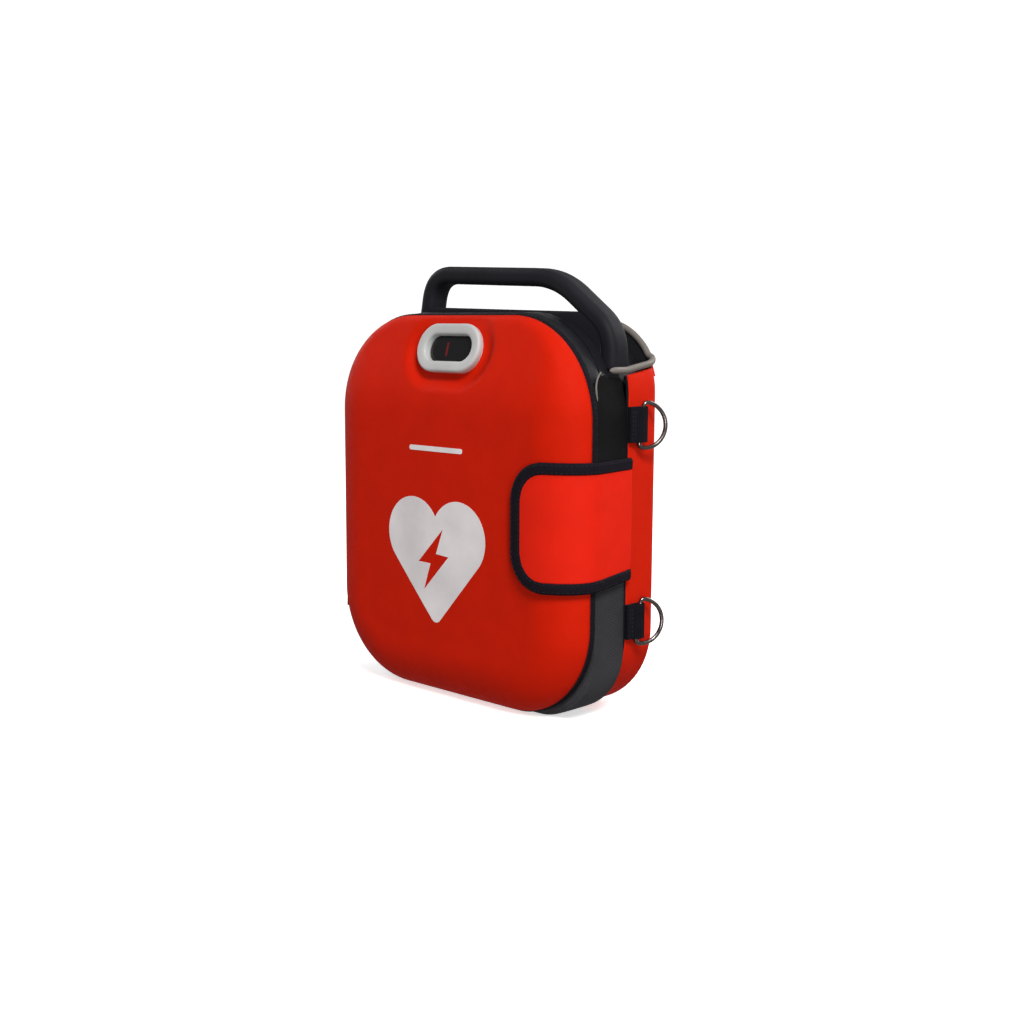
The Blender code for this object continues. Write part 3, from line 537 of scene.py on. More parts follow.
def tube(name, path, radius, finish, closed=False, sides=14, taper=0):
    """A round bar along points in metres; its ends close over the last taper points."""
    rows, normal = [], Vector((0, 0, 1))
    count = len(path)
    for i, point in enumerate(path):
        after = path[(i + 1) % count] if closed else path[min(i + 1, count - 1)]
        before = path[i - 1] if closed or i else path[0]
        tangent = (after - before).normalized()
        if i == 0 and abs(tangent.dot(normal)) > 0.9:
            normal = Vector((1, 0, 0))
        normal = (normal - tangent * normal.dot(tangent)).normalized()
        side = tangent.cross(normal)
        reach = min(i, count - 1 - i) / taper if taper else 1.0
        size = radius * MM * math.sqrt(max(1 - (1 - min(reach, 1.0)) ** 2, 0.04))
        row = []
        for k in range(sides):
            turn = 2 * math.pi * k / sides
            row.append(point + (normal * math.cos(turn) + side * math.sin(turn)) * size)
        rows.append(row)
    return hoop(name, rows, finish, 60) if closed else solid(name, rows, [finish], 60)


# One stitch: along it, its thickness and its height, as shares of its length and radius.
STITCH_SHAPE = ((-0.5, 0.3, -0.5), (-0.34, 0.9, 0.1), (0, 1, 0.35), (0.34, 0.9, 0.1))
STITCH_SHAPE += ((0.5, 0.3, -0.5),)


def stitches(name, path, up, pitch=3.0, length=2.1, radius=0.2):
    """A row of sewn stitches along points in metres: short thread ends that dip at both ends."""
    bm = bmesh.new()
    travelled, target = 0.0, pitch * MM / 2
    for before, after, lift in zip(path, path[1:], up):
        step = (after - before).length
        while step > 0 and travelled + step > target:
            centre = before.lerp(after, (target - travelled) / step)
            tangent = (after - before).normalized()
            side = tangent.cross(lift).normalized()
            rings = []
            for share, size, height in STITCH_SHAPE:
                middle = centre + tangent * share * length * MM + lift * height * radius * MM
                ring = []
                for k in range(6):
                    turn = math.pi * k / 3
                    spoke = (side * math.cos(turn) + lift * math.sin(turn)) * size * radius * MM
                    ring.append(bm.verts.new(middle + spoke))
                rings.append(ring)
            for first, second in zip(rings, rings[1:]):
                for k in range(6):
                    bm.faces.new((first[k], first[(k + 1) % 6], second[(k + 1) % 6], second[k]))
            bm.faces.new(rings[0][::-1])
            bm.faces.new(rings[-1])
            target += pitch * MM
        travelled += step
    bmesh.ops.recalc_face_normals(bm, faces=bm.faces)
    mesh = bpy.data.meshes.new(name)
    bm.to_mesh(mesh)
    bm.free()
    return new_object(name, mesh, [black_thread])


# --- Cover ---


def smooth_step(low, high, value):
    t = min(max((value - low) / (high - low), 0.0), 1.0)
    return t * t * (3 - 2 * t)


def smooth_min(a, b, width):
    h = min(max(0.5 + 0.5 * (b - a) / width, 0.0), 1.0)
    return b + (a - b) * h - width * h * (1 - h)


def inset_of(x, z):
    radius, level = TOP_RADIUS, HEIGHT - z
    if z < HEIGHT / 2:
        radius, level = BOTTOM_RADIUS, z
    side = HALF_WIDTH - abs(x)
    if side < radius and level < radius:
        return radius - math.hypot(radius - side, radius - level)
    return min(side, level)


def side_depth(inset):
    lack = 1 - min(inset / DOME_FALL, 1.0)
    return DOME_DEPTH * math.sqrt(max(1 - lack * lack, 0.0))


def outside_stadium(x, z, size):
    rise = (z - WINDOW_Z) / math.cos(WINDOW_TILT)
    half = size[1] / 2
    return math.hypot(max(abs(x) - (size[0] / 2 - half), 0.0), rise) - half


def dome_depth(x, z):
    slope = SLOPE_DEPTH + (WINDOW_Z - z) * SLOPE_PER_MM
    depth = smooth_min(side_depth(inset_of(x, z)), slope, BLEND)
    seat = SEAT_DEPTH - (z - WINDOW_Z) * math.tan(WINDOW_TILT)
    outside = outside_stadium(x, z, RING_SIZE)
    floor = seat - SCOOP_EXTRA * smooth_step(-1.0, 1.0, outside) * smooth_step(-14.0, 6.0, WINDOW_Z - z)
    share = smooth_step(SCOOP_START, SCOOP_REACH, outside)
    depth = min(depth, floor + (depth - floor) * share)
    along, up = x / CROWN_REACH[0], (z - CROWN_Z) / CROWN_REACH[1]
    crown = max(1 - along ** 2, 0.0) * max(1 - up ** 2, 0.0)
    return depth + CROWN * crown


def dome_point(x, z, lift=0.0):
    return place(x, -max(dome_depth(x, z), RIM_DEPTH) - lift, z)


def make_cover():
    insets = [0.35, 0.8, 1.4, 2.2, 3.2, 4.4, 5.8]
    while insets[-1] < 59:
        insets.append(insets[-1] + 1.45)
    rows = [[dome_point(x, z) for x, z in case_outline(inset)] for inset in insets]
    last = case_outline(insets[-1])
    middle_z = COVER_MIDDLE_Z
    for share in (0.9, 0.78, 0.64, 0.48, 0.32, 0.16):
        rows.append([dome_point(x * share, middle_z + (z - middle_z) * share) for x, z in last])

    def outside_window(middle):
        x, z = middle.x / MM, middle.z / MM
        return outside_stadium(x, z, WINDOW_HOLE) > 0

    finishes = [red_knit, lining]
    cover = loft("cover_shell", rows, finishes, closed_points=True, caps=(LAST,), keep=outside_window)
    flip_if(cover, (0, -1, 0))
    thicken(cover, 2.6, inner=1, rim=1)
    settle(cover, "cover", "red_shell", "front_cover")

    rows = []
    pucker_turn = 220
    for k in range(14):
        turn = 2 * math.pi * k / 14
        across, depth = math.cos(turn), math.sin(turn)
        across = math.copysign(abs(across) ** 0.7, across) * 2.0
        depth = math.copysign(abs(depth) ** 0.7, depth) * 2.3
        row = []
        for i, (x, z) in enumerate(case_outline(1.5 - across)):
            row.append(place(x, -1.15 + depth * (1 + 0.04 * math.sin(i * pucker_turn)), z))
        rows.append(row)
    piping = hoop("cover_piping", rows, binding_tape)
    settle(piping, "cover", "black_fabric", "cover_binding")
    outline = case_outline(-0.5)
    path = [place(x, -0.2, z) for x, z in outline]
    up = []
    for i, (x, z) in enumerate(outline):
        (ax, az), (bx, bz) = outline[i - 1], outline[(i + 1) % len(outline)]
        up.append(Vector((bz - az, 0, ax - bx)).normalized())
    settle(stitches("cover_piping_stitches", path, up), "cover", "black_fabric")

    refined("cover_loop_patch", pile_tape, 0.15)


def stadium(size, inset):
    """A slot shape inset from its size, from the bottom of its right end, as (u, v)."""
    steps = 28
    half = size[1] / 2 - inset
    reach = (size[0] - size[1]) / 2
    right = arc(reach, 0, half, -90, 90, steps)
    left = arc(-reach, 0, half, 90, 270, steps)
    bridge = [(reach - 2 * reach * i / 8, half) for i in range(1, 8)]
    under = [(-reach + 2 * reach * i / 8, -half) for i in range(1, 8)]
    return right + bridge + left + under


def seat_point(u, depth, v):
    """A point of the window's tilted seat: u sideways, v up the seat, depth in front of it."""
    turn = Matrix.Rotation(-WINDOW_TILT, 3, "X")
    local = turn @ Vector((u, -depth, v))
    return place(local.x, -SEAT_DEPTH - 0.6 + local.y, WINDOW_Z + local.z)


def make_window():
    profile = [(0.3, -2.4), (0.15, 0.0), (0.0, 0.5), (0.0, 2.0), (0.25, 2.8), (0.9, 3.3), (1.7, 3.4)]
    profile += [(4.6, 3.15), (6.0, 2.9), (6.7, 2.5), (7.0, 1.6), (7.3, -2.0), (7.3, -4.6), (4.6, -4.8)]
    profile += [(4.6, 0.0)]
    rows = []
    for inset, depth in profile:
        rows.append([seat_point(u, depth, v) for u, v in stadium(RING_SIZE, inset)])
    ring = hoop("window_bezel", rows, white_plastic, sharp=50)
    settle(ring, "cover", "white_ring", "window_ring")
    rows = []
    for inset, depth in ((0.35, -2.4), (0.35, -1.2), (0.8, -0.9), (3.0, -0.7), (6.0, -0.6), (9.0, -0.55)):
        rows.append([seat_point(u, depth, v) for u, v in stadium(WINDOW_SIZE, inset)])
    pane = solid("window_pane", rows, [smoked_window], sharp=50)
    settle(pane, "cover", "lens", "window_lens")


def film(name, outline, holes):
    """A printed film on the cover's front, cut from a copy of its surface."""
    xs, zs = [x for x, _ in outline], [z for _, z in outline]
    low, high, left, right = min(zs) - 2, max(zs) + 2, min(xs) - 2, max(xs) + 2
    rows = []
    for i in range(31):
        x = left + (right - left) * i / 30
        rows.append([dome_point(x, low + (high - low) * k / 30, 0.05) for k in range(31)])
    made = loft(name, rows, [print_ink])
    flip_if(made, (0, -1, 0))
    thicken(made, FILM_THICKNESS, offset=1.0)
    for points, operation in [(outline, "INTERSECT")] + [(hole, "DIFFERENCE") for hole in holes]:
        ends = [[place(x, y, z) for x, z in points] for y in (-40, -10)]
        cutter = solid(name + "_cutter", ends, [print_ink])
        cut = made.modifiers.new("Cut", "BOOLEAN")
        cut.operation = operation
        cut.object = cutter
    bpy.context.view_layer.update()
    graph = bpy.context.evaluated_depsgraph_get()
    mesh = bpy.data.meshes.new_from_object(made.evaluated_get(graph))
    cutters = [modifier.object for modifier in made.modifiers if modifier.type == "BOOLEAN"]
    for helper in [made] + cutters:
        bpy.data.objects.remove(helper)
    settle(new_object(name, mesh, [], sharp=40), "cover", "white_ring")


def heart_outline(centre_x, lobe_z, tip_z, lobe_radius, lobe_reach, tip_radius):
    """A plain heart: two round lobes joined by straight sides to a rounded tip."""
    middle_z = tip_z + tip_radius
    span = math.dist((lobe_reach, lobe_z), (0, middle_z))
    lean = math.degrees(math.atan2(lobe_z - middle_z, lobe_reach))
    swing = math.degrees(math.acos((lobe_radius - tip_radius) / span))
    side = lean + 180 + swing - 360
    notch = math.degrees(math.acos(-lobe_reach / lobe_radius))
    right = arc(0, middle_z, tip_radius, -90, side, 6)
    right += arc(lobe_reach, lobe_z, lobe_radius, side, notch, 30)
    left = [(-x, z) for x, z in reversed(right[1:-1])]
    return [(x + centre_x, z) for x, z in right + left]


def make_emblem():
    heart = heart_outline(EMBLEM_X, 106.3, 50.8, 23.8, 20.3, 5.0)
    bolt = [(4.5, 111.5), (-1.8, 95.1), (9.5, 94.3), (-13.2, 70.9), (-7.0, 88.5), (-18.1, 88.7)]
    film("heart_print", heart, [bolt])
    bar_z = 161.5
    bar = rounded(24.0, -1.6, 1.6, 1.55, 1.55, 6, (1, 1, 1, 1))
    bar = [(x + EMBLEM_X, z + bar_z) for x, z in bar]
    film("plain_bar_print", bar, [])


# --- Flap ---


def flap_line():
    """Points and outward directions of the line that the flap follows round the corner."""
    line = [((HALF_WIDTH, SEAM_Y - 0.6 - i), (1.0, 0.0)) for i in range(int(SEAM_Y))]
    inset = 0.0
    while inset < 46:
        step = 0.01
        slope = side_depth(inset + step) - side_depth(max(inset - step, 0.0))
        run = 2 * step if inset > step else step
        normal = Vector((slope, -run)).normalized()
        line.append(((HALF_WIDTH - inset, -side_depth(inset)), (normal.x, normal.y)))
        inset += 0.1 if inset < 3 else 0.4
    return line


FLAP_LINE = flap_line()
FLAP_STEPS = [0.0]
for (before, _), (after, _) in zip(FLAP_LINE, FLAP_LINE[1:]):
    FLAP_STEPS.append(FLAP_STEPS[-1] + math.dist(before, after))


def flap_at(travel, height):
    """(x, y) at a distance along the flap's line and a height above it."""
    travel = min(max(travel, 0.0), FLAP_STEPS[-1] - 1e-6)
    low, high = 0, len(FLAP_STEPS) - 1
    while high - low > 1:
        middle = (low + high) // 2
        if FLAP_STEPS[middle] <= travel:
            low = middle
        else:
            high = middle
    share = (travel - FLAP_STEPS[low]) / max(FLAP_STEPS[high] - FLAP_STEPS[low], 1e-9)
    (point, outward), (next_point, next_outward) = FLAP_LINE[low], FLAP_LINE[high]
    normal = Vector(between(outward, next_outward, share)).normalized()
    x, y = between(point, next_point, share)
    return (x + normal.x * height, y + normal.y * height)


def travel_to(x):
    """Distance along the line to where the front surface has this x."""
    for (point, _), travel in zip(FLAP_LINE, FLAP_STEPS):
        if point[1] < 0 and point[0] <= x:
            return travel
    return FLAP_STEPS[-1]


def flap_point(travel, height, z):
    x, y = flap_at(travel, height)
    return place(x, y, z)


def flap_lower(travel):
    y = flap_at(travel, 0)[1]
    if y > -6:
        return FLAP_LOW + 0.8 + (y + 6) / (SEAM_Y + 6) * (FLAP_SEAM_LOW - FLAP_LOW - 0.8)
    return FLAP_LOW + 0.8 * max(y + DOME_DEPTH, 0) / (DOME_DEPTH - 6)


def flap_upper(travel):
    y = flap_at(travel, 0)[1]
    return FLAP_HIGH + (FLAP_SEAM_HIGH - FLAP_HIGH) * max(y, 0) / SEAM_Y


def border_path(inset):
    """(travel, z) along the flap's edge at an inset: bottom, front edge and top."""
    front = inset * FLAP_FRONT_BORDER / FLAP_BORDER
    corner_x = FLAP_EDGE_X + FLAP_CORNER
    reach = travel_to(corner_x)
    path = []
    for i in range(48):
        travel = reach * i / 48
        path.append((travel, flap_lower(travel) + inset))

    def corner(centre_z, start):
        for x, z in arc(0, 0, 1.0, start, start - 90, 24):
            across = corner_x + (FLAP_CORNER - front) * x
            path.append((travel_to(across), centre_z + (FLAP_CORNER - inset) * z))

    low, high = FLAP_LOW + FLAP_CORNER, FLAP_HIGH - FLAP_CORNER
    corner(low, 270)
    edge = travel_to(FLAP_EDGE_X + front)
    for i in range(1, 12):
        path.append((edge, low + (high - low) * i / 12))
    corner(high, 180)
    for i in range(47, -1, -1):
        travel = reach * i / 48
        path.append((travel, flap_upper(travel) - inset))
    return path


def across_fold(made):
    """Bakes the piece's placement into its mesh."""
    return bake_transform(made)


def make_flap():
    rows = []
    inner = FLAP_BORDER - 0.6
    for i in range(41):
        share = i / 40
        row = []
        for k in range(101):
            z_front = FLAP_LOW + inner + (FLAP_HIGH - FLAP_LOW - 2 * inner) * share
            beyond = max(abs(z_front - FLAP_MIDDLE_Z) - (FLAP_HALF_HEIGHT - FLAP_CORNER), 0.0)
            radius = FLAP_CORNER - inner
            lack = radius - math.sqrt(max(radius ** 2 - beyond ** 2, 0.0))
            end = travel_to(FLAP_EDGE_X + FLAP_FRONT_BORDER - 0.8 + lack)
            travel = end * k / 100
            low, high = flap_lower(travel) + inner, flap_upper(travel) - inner
            puff = 0.35 * (1 - (2 * share - 1) ** 4)
            row.append(flap_point(travel, FLAP_TOP - 0.15 + puff, low + (high - low) * share))
        rows.append(row)
    panel = loft("flap_panel", rows, [flap_knit, lining])
    flip_if(panel, (1, -1, 0))
    thicken(panel, 2.1, inner=1, rim=1)
    across_fold(panel)
    stand_for(panel, "red_flap", "flap_side_panel", "flap_front_panel")

    profile = [(7.0, 3.75), (6.85, 4.25), (6.0, 4.45), (4.2, 4.6), (2.4, 4.55), (1.0, 4.25), (0.25, 3.7)]
    profile += [(0.0, 3.1), (0.25, 2.4), (0.9, 1.9), (2.4, 1.65), (4.4, 1.6), (6.4, 1.7), (6.7, 2.4)]
    rows = []
    for inset, height in profile:
        rows.append([flap_point(travel, height, z) for travel, z in border_path(inset)])
    border = loft("flap_border", rows, [flap_tape], closed_rows=True)
    across_fold(border)
    bindings = ("flap_front_binding", "flap_side_binding_upper", "flap_side_binding_lower")
    stand_for(border, "black_fabric", *bindings)
    for name, inset in (("outer", 1.6), ("inner", 5.9)):
        path = [flap_point(travel, 4.56, z) for travel, z in border_path(inset)]
        up = []
        for travel, _ in border_path(inset):
            (ax, ay), (bx, by) = flap_at(travel, 0), flap_at(travel, 1)
            up.append(Vector((bx - ax, by - ay, 0)))
        row = stitches(f"flap_{name}_stitches", path, up)
        across_fold(row)
        stand_for(row, "black_fabric")
    refined("flap_hook_patch", pile_tape, 0.15)


# --- Case ---


def band_top(y):
    """The height at which the gusset is cut off, by its distance behind the rim."""
    front, back = BAND_CUT
    if y >= TRIM_START_Y:
        return back
    return front - 1.5 + (y + 3) * (back - front + 1.5) / (TRIM_START_Y + 3)


def make_band():
    """The gusset as a slightly bulging strip of cloth, cut low at its two ends."""
    count, lip_inset = 240, 3.4
    lip = resample(below(case_outline(lip_inset), band_top(BAND_FRONT)), count)
    rows = [[place(x, BAND_FRONT + 0.5, z) for x, z in lip]]
    for i in range(25):
        share = i / 24
        y = BAND_FRONT + (SEAM_Y - BAND_FRONT - 0.2) * share
        bulge = 0.5 * (1 - (2 * share - 1) ** 4) - 0.4
        half = HALF_WIDTH - 0.3 + bulge
        radii = (BAND_BOTTOM_RADIUS, TOP_RADIUS)
        outline = rounded(half, 0.0, HEIGHT - 0.3 + bulge, *radii, 24, (30, 60, 4, 60))
        line = resample(below(outline, band_top(y)), count)
        rows.append([place(x, y, z) for x, z in line])
    band = loft("gusset_cloth", rows, [band_cloth, lining])
    flip_if(band, (0, 0, -1))
    thicken(band, 2.2, inner=1)
    settle(band, "case", "grey_fabric", "gusset_band")


def below(outline, top):
    """The open part of a closed outline under a level, from its left end to its right end."""
    count = len(outline)
    start = next(i for i in range(count) if outline[i - 1][1] > top >= outline[i][1])
    turned = outline[start:] + outline[:start]
    end = next(i for i in range(count) if turned[i][1] > top)

    def crossing(inside, outside):
        share = (top - inside[1]) / (outside[1] - inside[1])
        return (inside[0] + (outside[0] - inside[0]) * share, top)

    first, last = crossing(turned[0], turned[-1]), crossing(turned[end - 1], turned[end])
    return [first] + turned[:end] + [last]


def resample(line, count):
    lengths = [0.0]
    for a, b in zip(line, line[1:]):
        lengths.append(lengths[-1] + math.dist(a, b))
    points, k = [], 0
    for i in range(count):
        target = lengths[-1] * i / (count - 1)
        while k < len(line) - 2 and lengths[k + 1] < target:
            k += 1
        step = lengths[k + 1] - lengths[k]
        share = (target - lengths[k]) / step if step else 0
        points.append(between(line[k], line[k + 1], share))
    return points


def refined(node, finish, width):
    """A CAD node's own shape with its edges softened and its curved faces shaded smooth."""
    source = frame["nodes"][node]
    bm = bmesh.new()
    bm.from_mesh(source.data)
    bmesh.ops.remove_doubles(bm, verts=bm.verts, dist=2e-6)
    bmesh.ops.dissolve_limit(bm, angle_limit=math.radians(1), verts=bm.verts, edges=bm.edges)
    bm.verts.index_update()
    points = [vert.co.copy() for vert in bm.verts]
    faces = [[vert.index for vert in face.verts] for face in bm.faces]
    bm.free()
    mesh = bpy.data.meshes.new(node)
    mesh.from_pydata(points, [], faces)
    made = new_object(node + "_finished", mesh, [finish], sharp=35)
    if width:
        soften(made, width)
    slots = {part["node"]: part["material_slot"] for part in frame["record"]["subparts"]}
    settle(made, source["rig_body"], slots[node], node)


def make_shell():
    """The moulded rear shell, cut open along a slope at its top, and its high back panel."""
    rows = []
    profile = [(0.0, SEAM_Y + 0.2 + i * 2.9) for i in range(8)]
    for i in range(13):
        turn = math.radians(90 * i / 12)
        inset = BACK_ROUNDING * (1 - math.cos(turn))
        profile.append((inset, BACK_Y - BACK_ROUNDING + BACK_ROUNDING * math.sin(turn)))
    for inset in (13, 18, 24, 31, 39):
        profile.append((inset, BACK_Y))
    for inset, y in profile:
        rows.append([place(x, y, z) for x, z in shell_outline(inset)])
    last = shell_outline(39)
    for share in (0.75, 0.5, 0.25):
        middle = [(x * share, SHELL_MIDDLE_Z + (z - SHELL_MIDDLE_Z) * share) for x, z in last]
        rows.append([place(x, BACK_Y, z) for x, z in middle])
    shell = loft("rear_foam_shell", rows, [red_knit, lining], closed_points=True, caps=(LAST,))
    flip_if(shell, (0, 1, 0))
    front, back = SHELL_CUT
    bm = bmesh.new()
    bm.from_mesh(shell.data)
    slope = Vector((0, -(back - front), BACK_Y - SEAM_Y)).normalized()
    geometry = bm.verts[:] + bm.edges[:] + bm.faces[:]
    edge = place(0, SEAM_Y, front)
    bmesh.ops.bisect_plane(bm, geom=geometry, plane_co=edge, plane_no=slope, clear_outer=True)
    bm.to_mesh(shell.data)
    bm.free()
    thicken(shell, 2.8, inner=1, rim=1)
    settle(shell, "case", "red_shell", "rear_shell")

    rows = []
    for inset, y in ((0.6, 57.0), (0.0, 57.4), (0.0, 59.4), (0.6, 59.9)):
        line = [p for p in shell_outline(PANEL_INSET + inset) if p[1] > PANEL_LOW]
        line.sort(key=lambda p: math.atan2(p[1] - PANEL_FAN_Z, p[0]))
        rows.append([place(x, y, z) for x, z in line])
    panel = solid("rear_panel", rows, [red_knit, lining], sharp=50)
    for polygon in panel.data.polygons:
        if polygon.normal.y < -0.5:
            polygon.material_index = 1
    settle(panel, "case", "red_shell")


def make_trims():
    level = BAND_CUT[1] + TRIM_RADIUS + 0.4
    slope = (SHELL_CUT[1] - SHELL_CUT[0]) / (BACK_Y - SEAM_Y)
    x = HALF_WIDTH - 1.8
    side = [(x - 0.6, TRIM_START_Y, level), (x - 0.2, 21, level), (x, SEAM_Y, level)]
    for y in (36, 44, 50):
        side.append((x - (y - SEAM_Y) ** 2 * 0.001, y, level + (y - SEAM_Y) * slope))
    back_y = BACK_Y - TRIM_RADIUS
    side += [(x - 1.6, 54.5, level + 4.4), (x - 3.4, 57.2, level + 6.6)]
    centre = HALF_WIDTH - SHELL_TOP_RADIUS
    radius = SHELL_TOP_RADIUS - TRIM_RADIUS - 0.2
    bend = arc(centre, SHELL_HEIGHT - SHELL_TOP_RADIUS, radius, 32, 90, 9)
    right = side + [(u, back_y, z) for u, z in bend]
    left = [(-u, y, z) for u, y, z in reversed(right)]
    path = smooth_path([place(*p) for p in right] + [place(*p) for p in left], 6)
    trim = tube("shell_piping", path, TRIM_RADIUS, trim_rubber, sides=18, taper=5)
    settle(trim, "case", "grey_trim", "edge_trim")
    seam = [(12.6, level - 0.8), (9.0, 209.6), (5.8, 206.6), (3.6, 203.4), (2.6, 200.0), (2.3, 195.0)]
    for name, sign in (("right", 1), ("left", -1)):
        points = []
        for y, z in seam:
            reach = math.sqrt((TOP_RADIUS - 0.2) ** 2 - (z - HEIGHT + TOP_RADIUS) ** 2)
            points.append(place(sign * (HALF_WIDTH - TOP_RADIUS + reach), y, z))
        piping = tube(f"gusset_piping_{name}", smooth_path(points, 6), 0.6, trim_rubber, taper=6)
        settle(piping, "case", "grey_trim", f"gusset_trim_{name}")


def smooth_path(points, steps):
    """A Catmull-Rom line through the points."""
    ends = [points[0] * 2 - points[1]] + list(points) + [points[-1] * 2 - points[-2]]
    line = []
    for a, b, c, d in zip(ends, ends[1:], ends[2:], ends[3:]):
        for i in range(steps):
            t = i / steps
            bend = (a * 2 - b * 5 + c * 4 - d) * t ** 2 + (b * 3 - a - c * 3 + d) * t ** 3
            line.append((b * 2 + (c - a) * t + bend) / 2)
    line.append(points[-1])
    return line


def make_loops_and_rings():
    slot = math.sin(RING_LEAN) * LOOP_WIDTH / 2
    for level, height in LOOP_HEIGHTS.items():
        for side, sign in (("right", 1), ("left", -1)):
            line = [(STRAP_X, y) for y in (SEAM_Y - 0.4, 31.5, 34.5, BAR_Y)]
            line += arc(BAR_X, BAR_Y + slot, 2.25, 180, 0, 12)
            line += arc(BAR_X, BAR_Y - slot, 2.25, 0, -62, 6)
            line += [(112.3, 32.4), (111.5, 30.7), (111.0, SEAM_Y - 0.4)]
            rows = []
            for i in range(13):
                z = height - LOOP_WIDTH / 2 + LOOP_WIDTH * i / 12
                rows.append([place(sign * x, y, z) for x, y in line])
            strap = loft(f"strap_{level}_{side}", rows, [webbing])
            flip_if(strap, (sign, 0, 0))
            thicken(strap, 1.0, offset=0.0)
            soften(strap, 0.25)
            settle(strap, "case", "webbing", f"webbing_loop_{level}_{side}")
            for k, y in enumerate((29.9, 31.5)):
                path = [place(sign * (111.72 + k * 0.72), y, height - 9.5 + i) for i in range(20)]
                up = [Vector((sign, 0, 0))] * len(path)
                name = f"strap_stitches_{level}_{side}_{k}"
                row = stitches(name, path, up, 2.6, 1.9, 0.22)
                settle(row, "case", "black_fabric")
            reach, half = RING_REACH - RING_WIRE, RING_HALF_HEIGHT - RING_WIRE
            bow = arc(reach - half, 0, half, -90, 90, 32)
            bar = [(0, half - 2 * half * i / 16) for i in range(17)]
            lean = Matrix.Rotation(-RING_LEAN, 3, "X")
            path = []
            for out, up in round_joins(bow + bar):
                away = sign * out * math.sin(RING_SWING)
                local = lean @ Vector((away, out * math.cos(RING_SWING), up))
                path.append(place(sign * BAR_X + local.x, BAR_Y + local.y, height + local.z))
            ring = tube(f"strap_ring_{level}_{side}", path, RING_WIRE, nickel, closed=True, sides=18)
            settle(ring, f"ring_{level}_{side}", "nickel", f"d_ring_{level}_{side}")


def round_joins(points):
    """The closed line with its sharp corners eased by two rounds of averaging."""
    for _ in range(2):
        count = len(points)
        eased = []
        for i in range(count):
            (ax, ay), (bx, by), (cx, cy) = points[i - 1], points[i], points[(i + 1) % count]
            eased.append(((ax + 2 * bx + cx) / 4, (ay + 2 * by + cy) / 4))
        points = eased
    return points


def make_hinge_cloth():
    """The cloth that joins the band to the cover's left edge."""
    line = [(-110.1, 15.0), (-110.9, 12.0), (-111.1, 8.0), (-111.1, 4.0), (-111.1, 1.5), (-110.9, -1.0)]
    line += [(-110.3, -3.4), (-109.6, -5.6), (-108.8, -7.6)]
    smooth = smooth_path([Vector((x, y, 0)) for x, y in line], 4)
    rows = []
    seam = HINGE_SEAM_X
    for i in range(61):
        z = HINGE_LOW + (HINGE_HIGH - HINGE_LOW) * i / 60
        ease = smooth_step(0, HINGE_EASE, min(z - HINGE_LOW, HINGE_HIGH - z))
        rows.append([place(seam + (p.x - seam) * ease, p.y, z) for p in smooth])
    cloth = loft("hinge_cloth", rows, [binding_tape])
    flip_if(cloth, (-1, 0, 0))
    thicken(cloth, 0.7, offset=0.0)
    x, z = -110.9, (HINGE_LOW + HINGE_HIGH) / 2
    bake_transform(cloth)
    stand_for(cloth, "black_fabric", "hinge_strip")


# --- Device ---


def handle_path():
    """The middle line of the handle's bar as (x, z), with its corners rounded."""
    corners = ((-64, 236), (-57.5, 271.3), (53, 267.4), (96, 235.5), (96, 213))
    path = [Vector(corners[0])]
    for before, corner, after, bend in zip(corners, corners[1:-1], corners[2:], (17.0, 18.0, 14.0)):
        here = Vector(corner)
        start = here + (Vector(before) - here).normalized() * bend
        end = here + (Vector(after) - here).normalized() * bend
        for i in range(19):
            t = i / 18
            path.append(start * (1 - t) ** 2 + here * 2 * t * (1 - t) + end * t * t)
    path.append(Vector(corners[-1]))
    return path


def make_handle():
    path = handle_path()
    section = rounded(8.5, -5.75, 5.75, 4.6, 4.6, 7, (3, 1, 3, 1))
    rows = []
    for i, point in enumerate(path):
        before, after = path[max(i - 1, 0)], path[min(i + 1, len(path) - 1)]
        tangent = (after - before).normalized()
        normal = Vector((-tangent.y, tangent.x))
        row = []
        for b, a in section:
            spot = point + normal * a
            row.append(place(spot.x, HANDLE_Y + b, spot.y))
        rows.append(row)
    frame_bar = solid("handle_bar", rows, [handle_plastic], sharp=60)
    settle(frame_bar, "case", "black_plastic", "handle_frame")

    saddle = ((-64, 236), (92, 215), (92, 238), (84, 246.4), (-60, 249.8))
    rows = []
    for y in (HANDLE_Y - 7.9, HANDLE_Y + 7.9):
        rows.append([place(u, y, v) for u, v in saddle])
    base = solid("handle_saddle", rows, [handle_plastic], sharp=30)
    soften(base, 1.2, 3)
    settle(base, "case", "black_plastic")
    refined("handle_grip", grip_rubber, 0.2)


def make_device():
    hard = {
        "device_front_housing": (device_plastic, 0.3),
        "device_rear_housing": (device_plastic, 0.3),
        "housing_gasket": (grip_rubber, 0.1),
        "control_panel": (panel_plastic, 0.3),
        "display_frame": (handle_plastic, 0.3),
        "display_module": (smoked_window, 0.1),
        "power_button": (green_cap, 0.2),
        "shock_button": (orange_cap, 0.2),
        "shock_light_ring": (light_guide, 0.3),
        "speaker": (device_plastic, 0.1),
        "battery_pack": (battery_plastic, 0.3),
        "battery_latch": (orange_cap, 0.3),
        "electrode_plug": (panel_plastic, 0.4),
        "electrode_socket": (device_plastic, 0.2),
        "electrode_pouch": (pouch_film, 0.5),
        "electrode_lead": (panel_plastic, 0.0),
        "main_board": (board_resist, 0.1),
        "hv_capacitor": (sleeve, 0.4),
        "transformer": (winding, 0.4),
        "discharge_relay": (device_plastic, 0.4),
        "heat_sink": (bright_metal, 0.2),
        "handle_screw_left": (bright_metal, 0.15),
        "handle_screw_right": (bright_metal, 0.15),
    }
    for node, (finish, width) in hard.items():
        refined(node, finish, width)
    for i in range(1, 5):
        refined(f"housing_screw_{i}", bright_metal, 0.15)


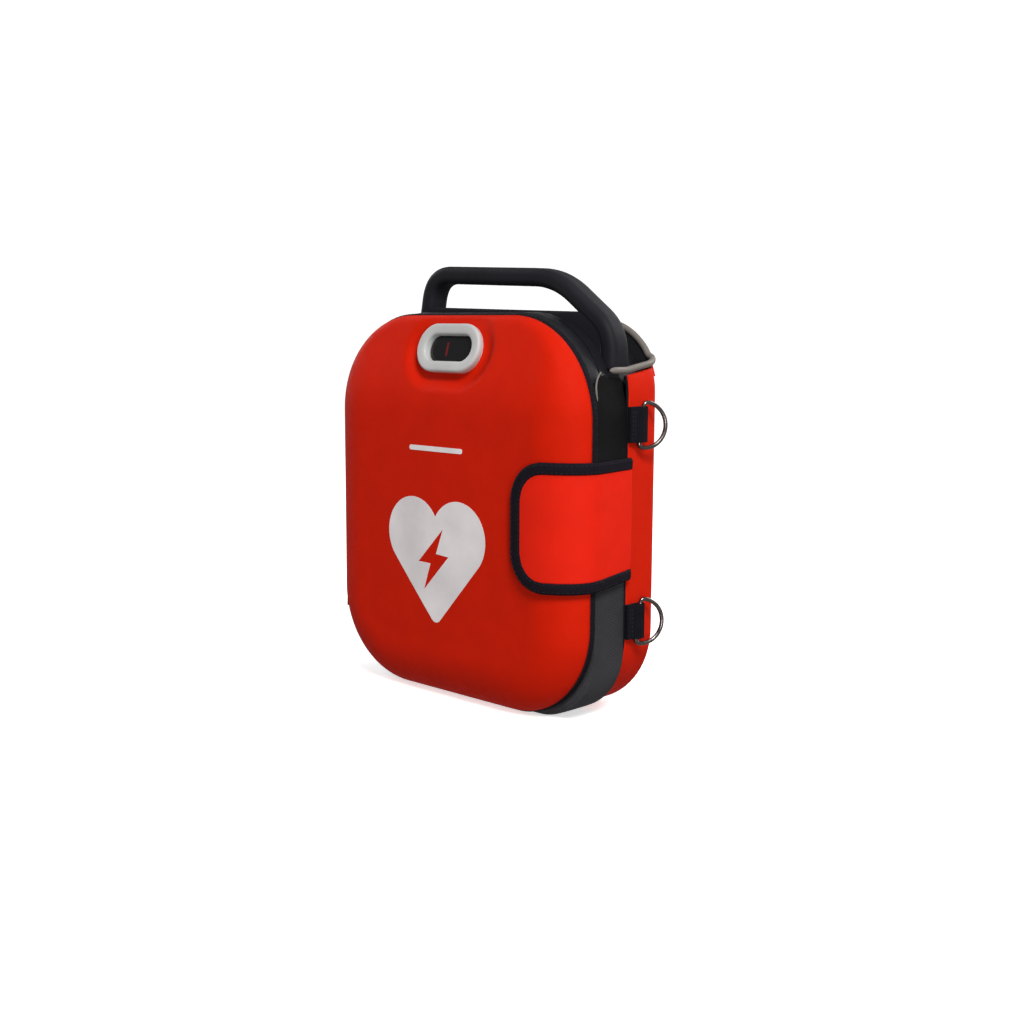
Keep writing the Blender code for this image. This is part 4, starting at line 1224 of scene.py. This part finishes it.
red_knit = knit("red_moulded_knit", (0.60, 0.012, 0.001))
flap_knit = knit("red_flap_knit", (0.74, 0.016, 0.005), "UV")
lining = knit("black_lining", (0.012, 0.012, 0.014), thread=0.0008, sheen=0.1, roughness=0.85)
binding_tape = weave("binding_tape", (0.009, 0.008, 0.012), 0.0008, "UV", 0.0001)
flap_tape = weave("flap_binding_tape", (0.009, 0.007, 0.012), 0.0008, "UV", 0.0001)
# The gusset's cloth is painted darker towards its top, a painted shade.
band_cloth = weave("gusset_cloth", (0.060, 0.058, 0.063), 0.0009, "UV", 0.00012, painted_top_shade=True)
webbing = weave("webbing", (0.007, 0.007, 0.011), 0.0014, "UV", 0.0003)
black_thread = weave("thread", (0.03, 0.03, 0.036), 0.0004)
trim_rubber = plastic("grey_piping", (0.165, 0.145, 0.13), 0.5, 0.0009, 0.00004)
white_plastic = plastic("white_bezel", (0.50, 0.50, 0.49), 0.4)
print_ink = plastic("white_print", (0.78, 0.73, 0.73), 0.55, 0.0006, 0.00006)
nickel = metal("black_nickel", (0.17, 0.15, 0.14), 0.2)
bright_metal = metal("zinc_plate", (0.55, 0.55, 0.56), 0.3)
handle_plastic = plastic("handle_plastic", (0.013, 0.013, 0.017), 0.6, gloss=0.12)
device_plastic = plastic("housing_plastic", (0.009, 0.009, 0.012), 0.38, gloss=0.35)
panel_plastic = plastic("panel_plastic", (0.36, 0.37, 0.39), 0.5)
battery_plastic = plastic("battery_plastic", (0.10, 0.10, 0.11), 0.55)
green_cap = plastic("green_cap", (0.02, 0.38, 0.08), 0.3)
orange_cap = plastic("orange_cap", (0.85, 0.17, 0.01), 0.28)
light_guide = plastic("light_guide", (0.78, 0.80, 0.78), 0.2)
sleeve = plastic("capacitor_sleeve", (0.02, 0.05, 0.20), 0.3, 0.002)
winding = ribbed("enamelled_winding", (0.50, 0.17, 0.06), 0.0012, 0.0003)
grip_rubber = ribbed("grip_rubber", (0.016, 0.016, 0.018), 0.0035, 0.0006)
pile_tape = pile("hook_and_loop", (0.014, 0.014, 0.015))
smoked_window = window_glass()
pouch_film = foil("pouch_film")
board_resist = board("solder_resist")
paper = backdrop_paper()

make_camera()
make_studio()
make_cover()
make_window()
make_emblem()
make_flap()
make_band()
make_shell()
make_trims()
make_loops_and_rings()
make_hinge_cloth()
make_handle()
make_device()
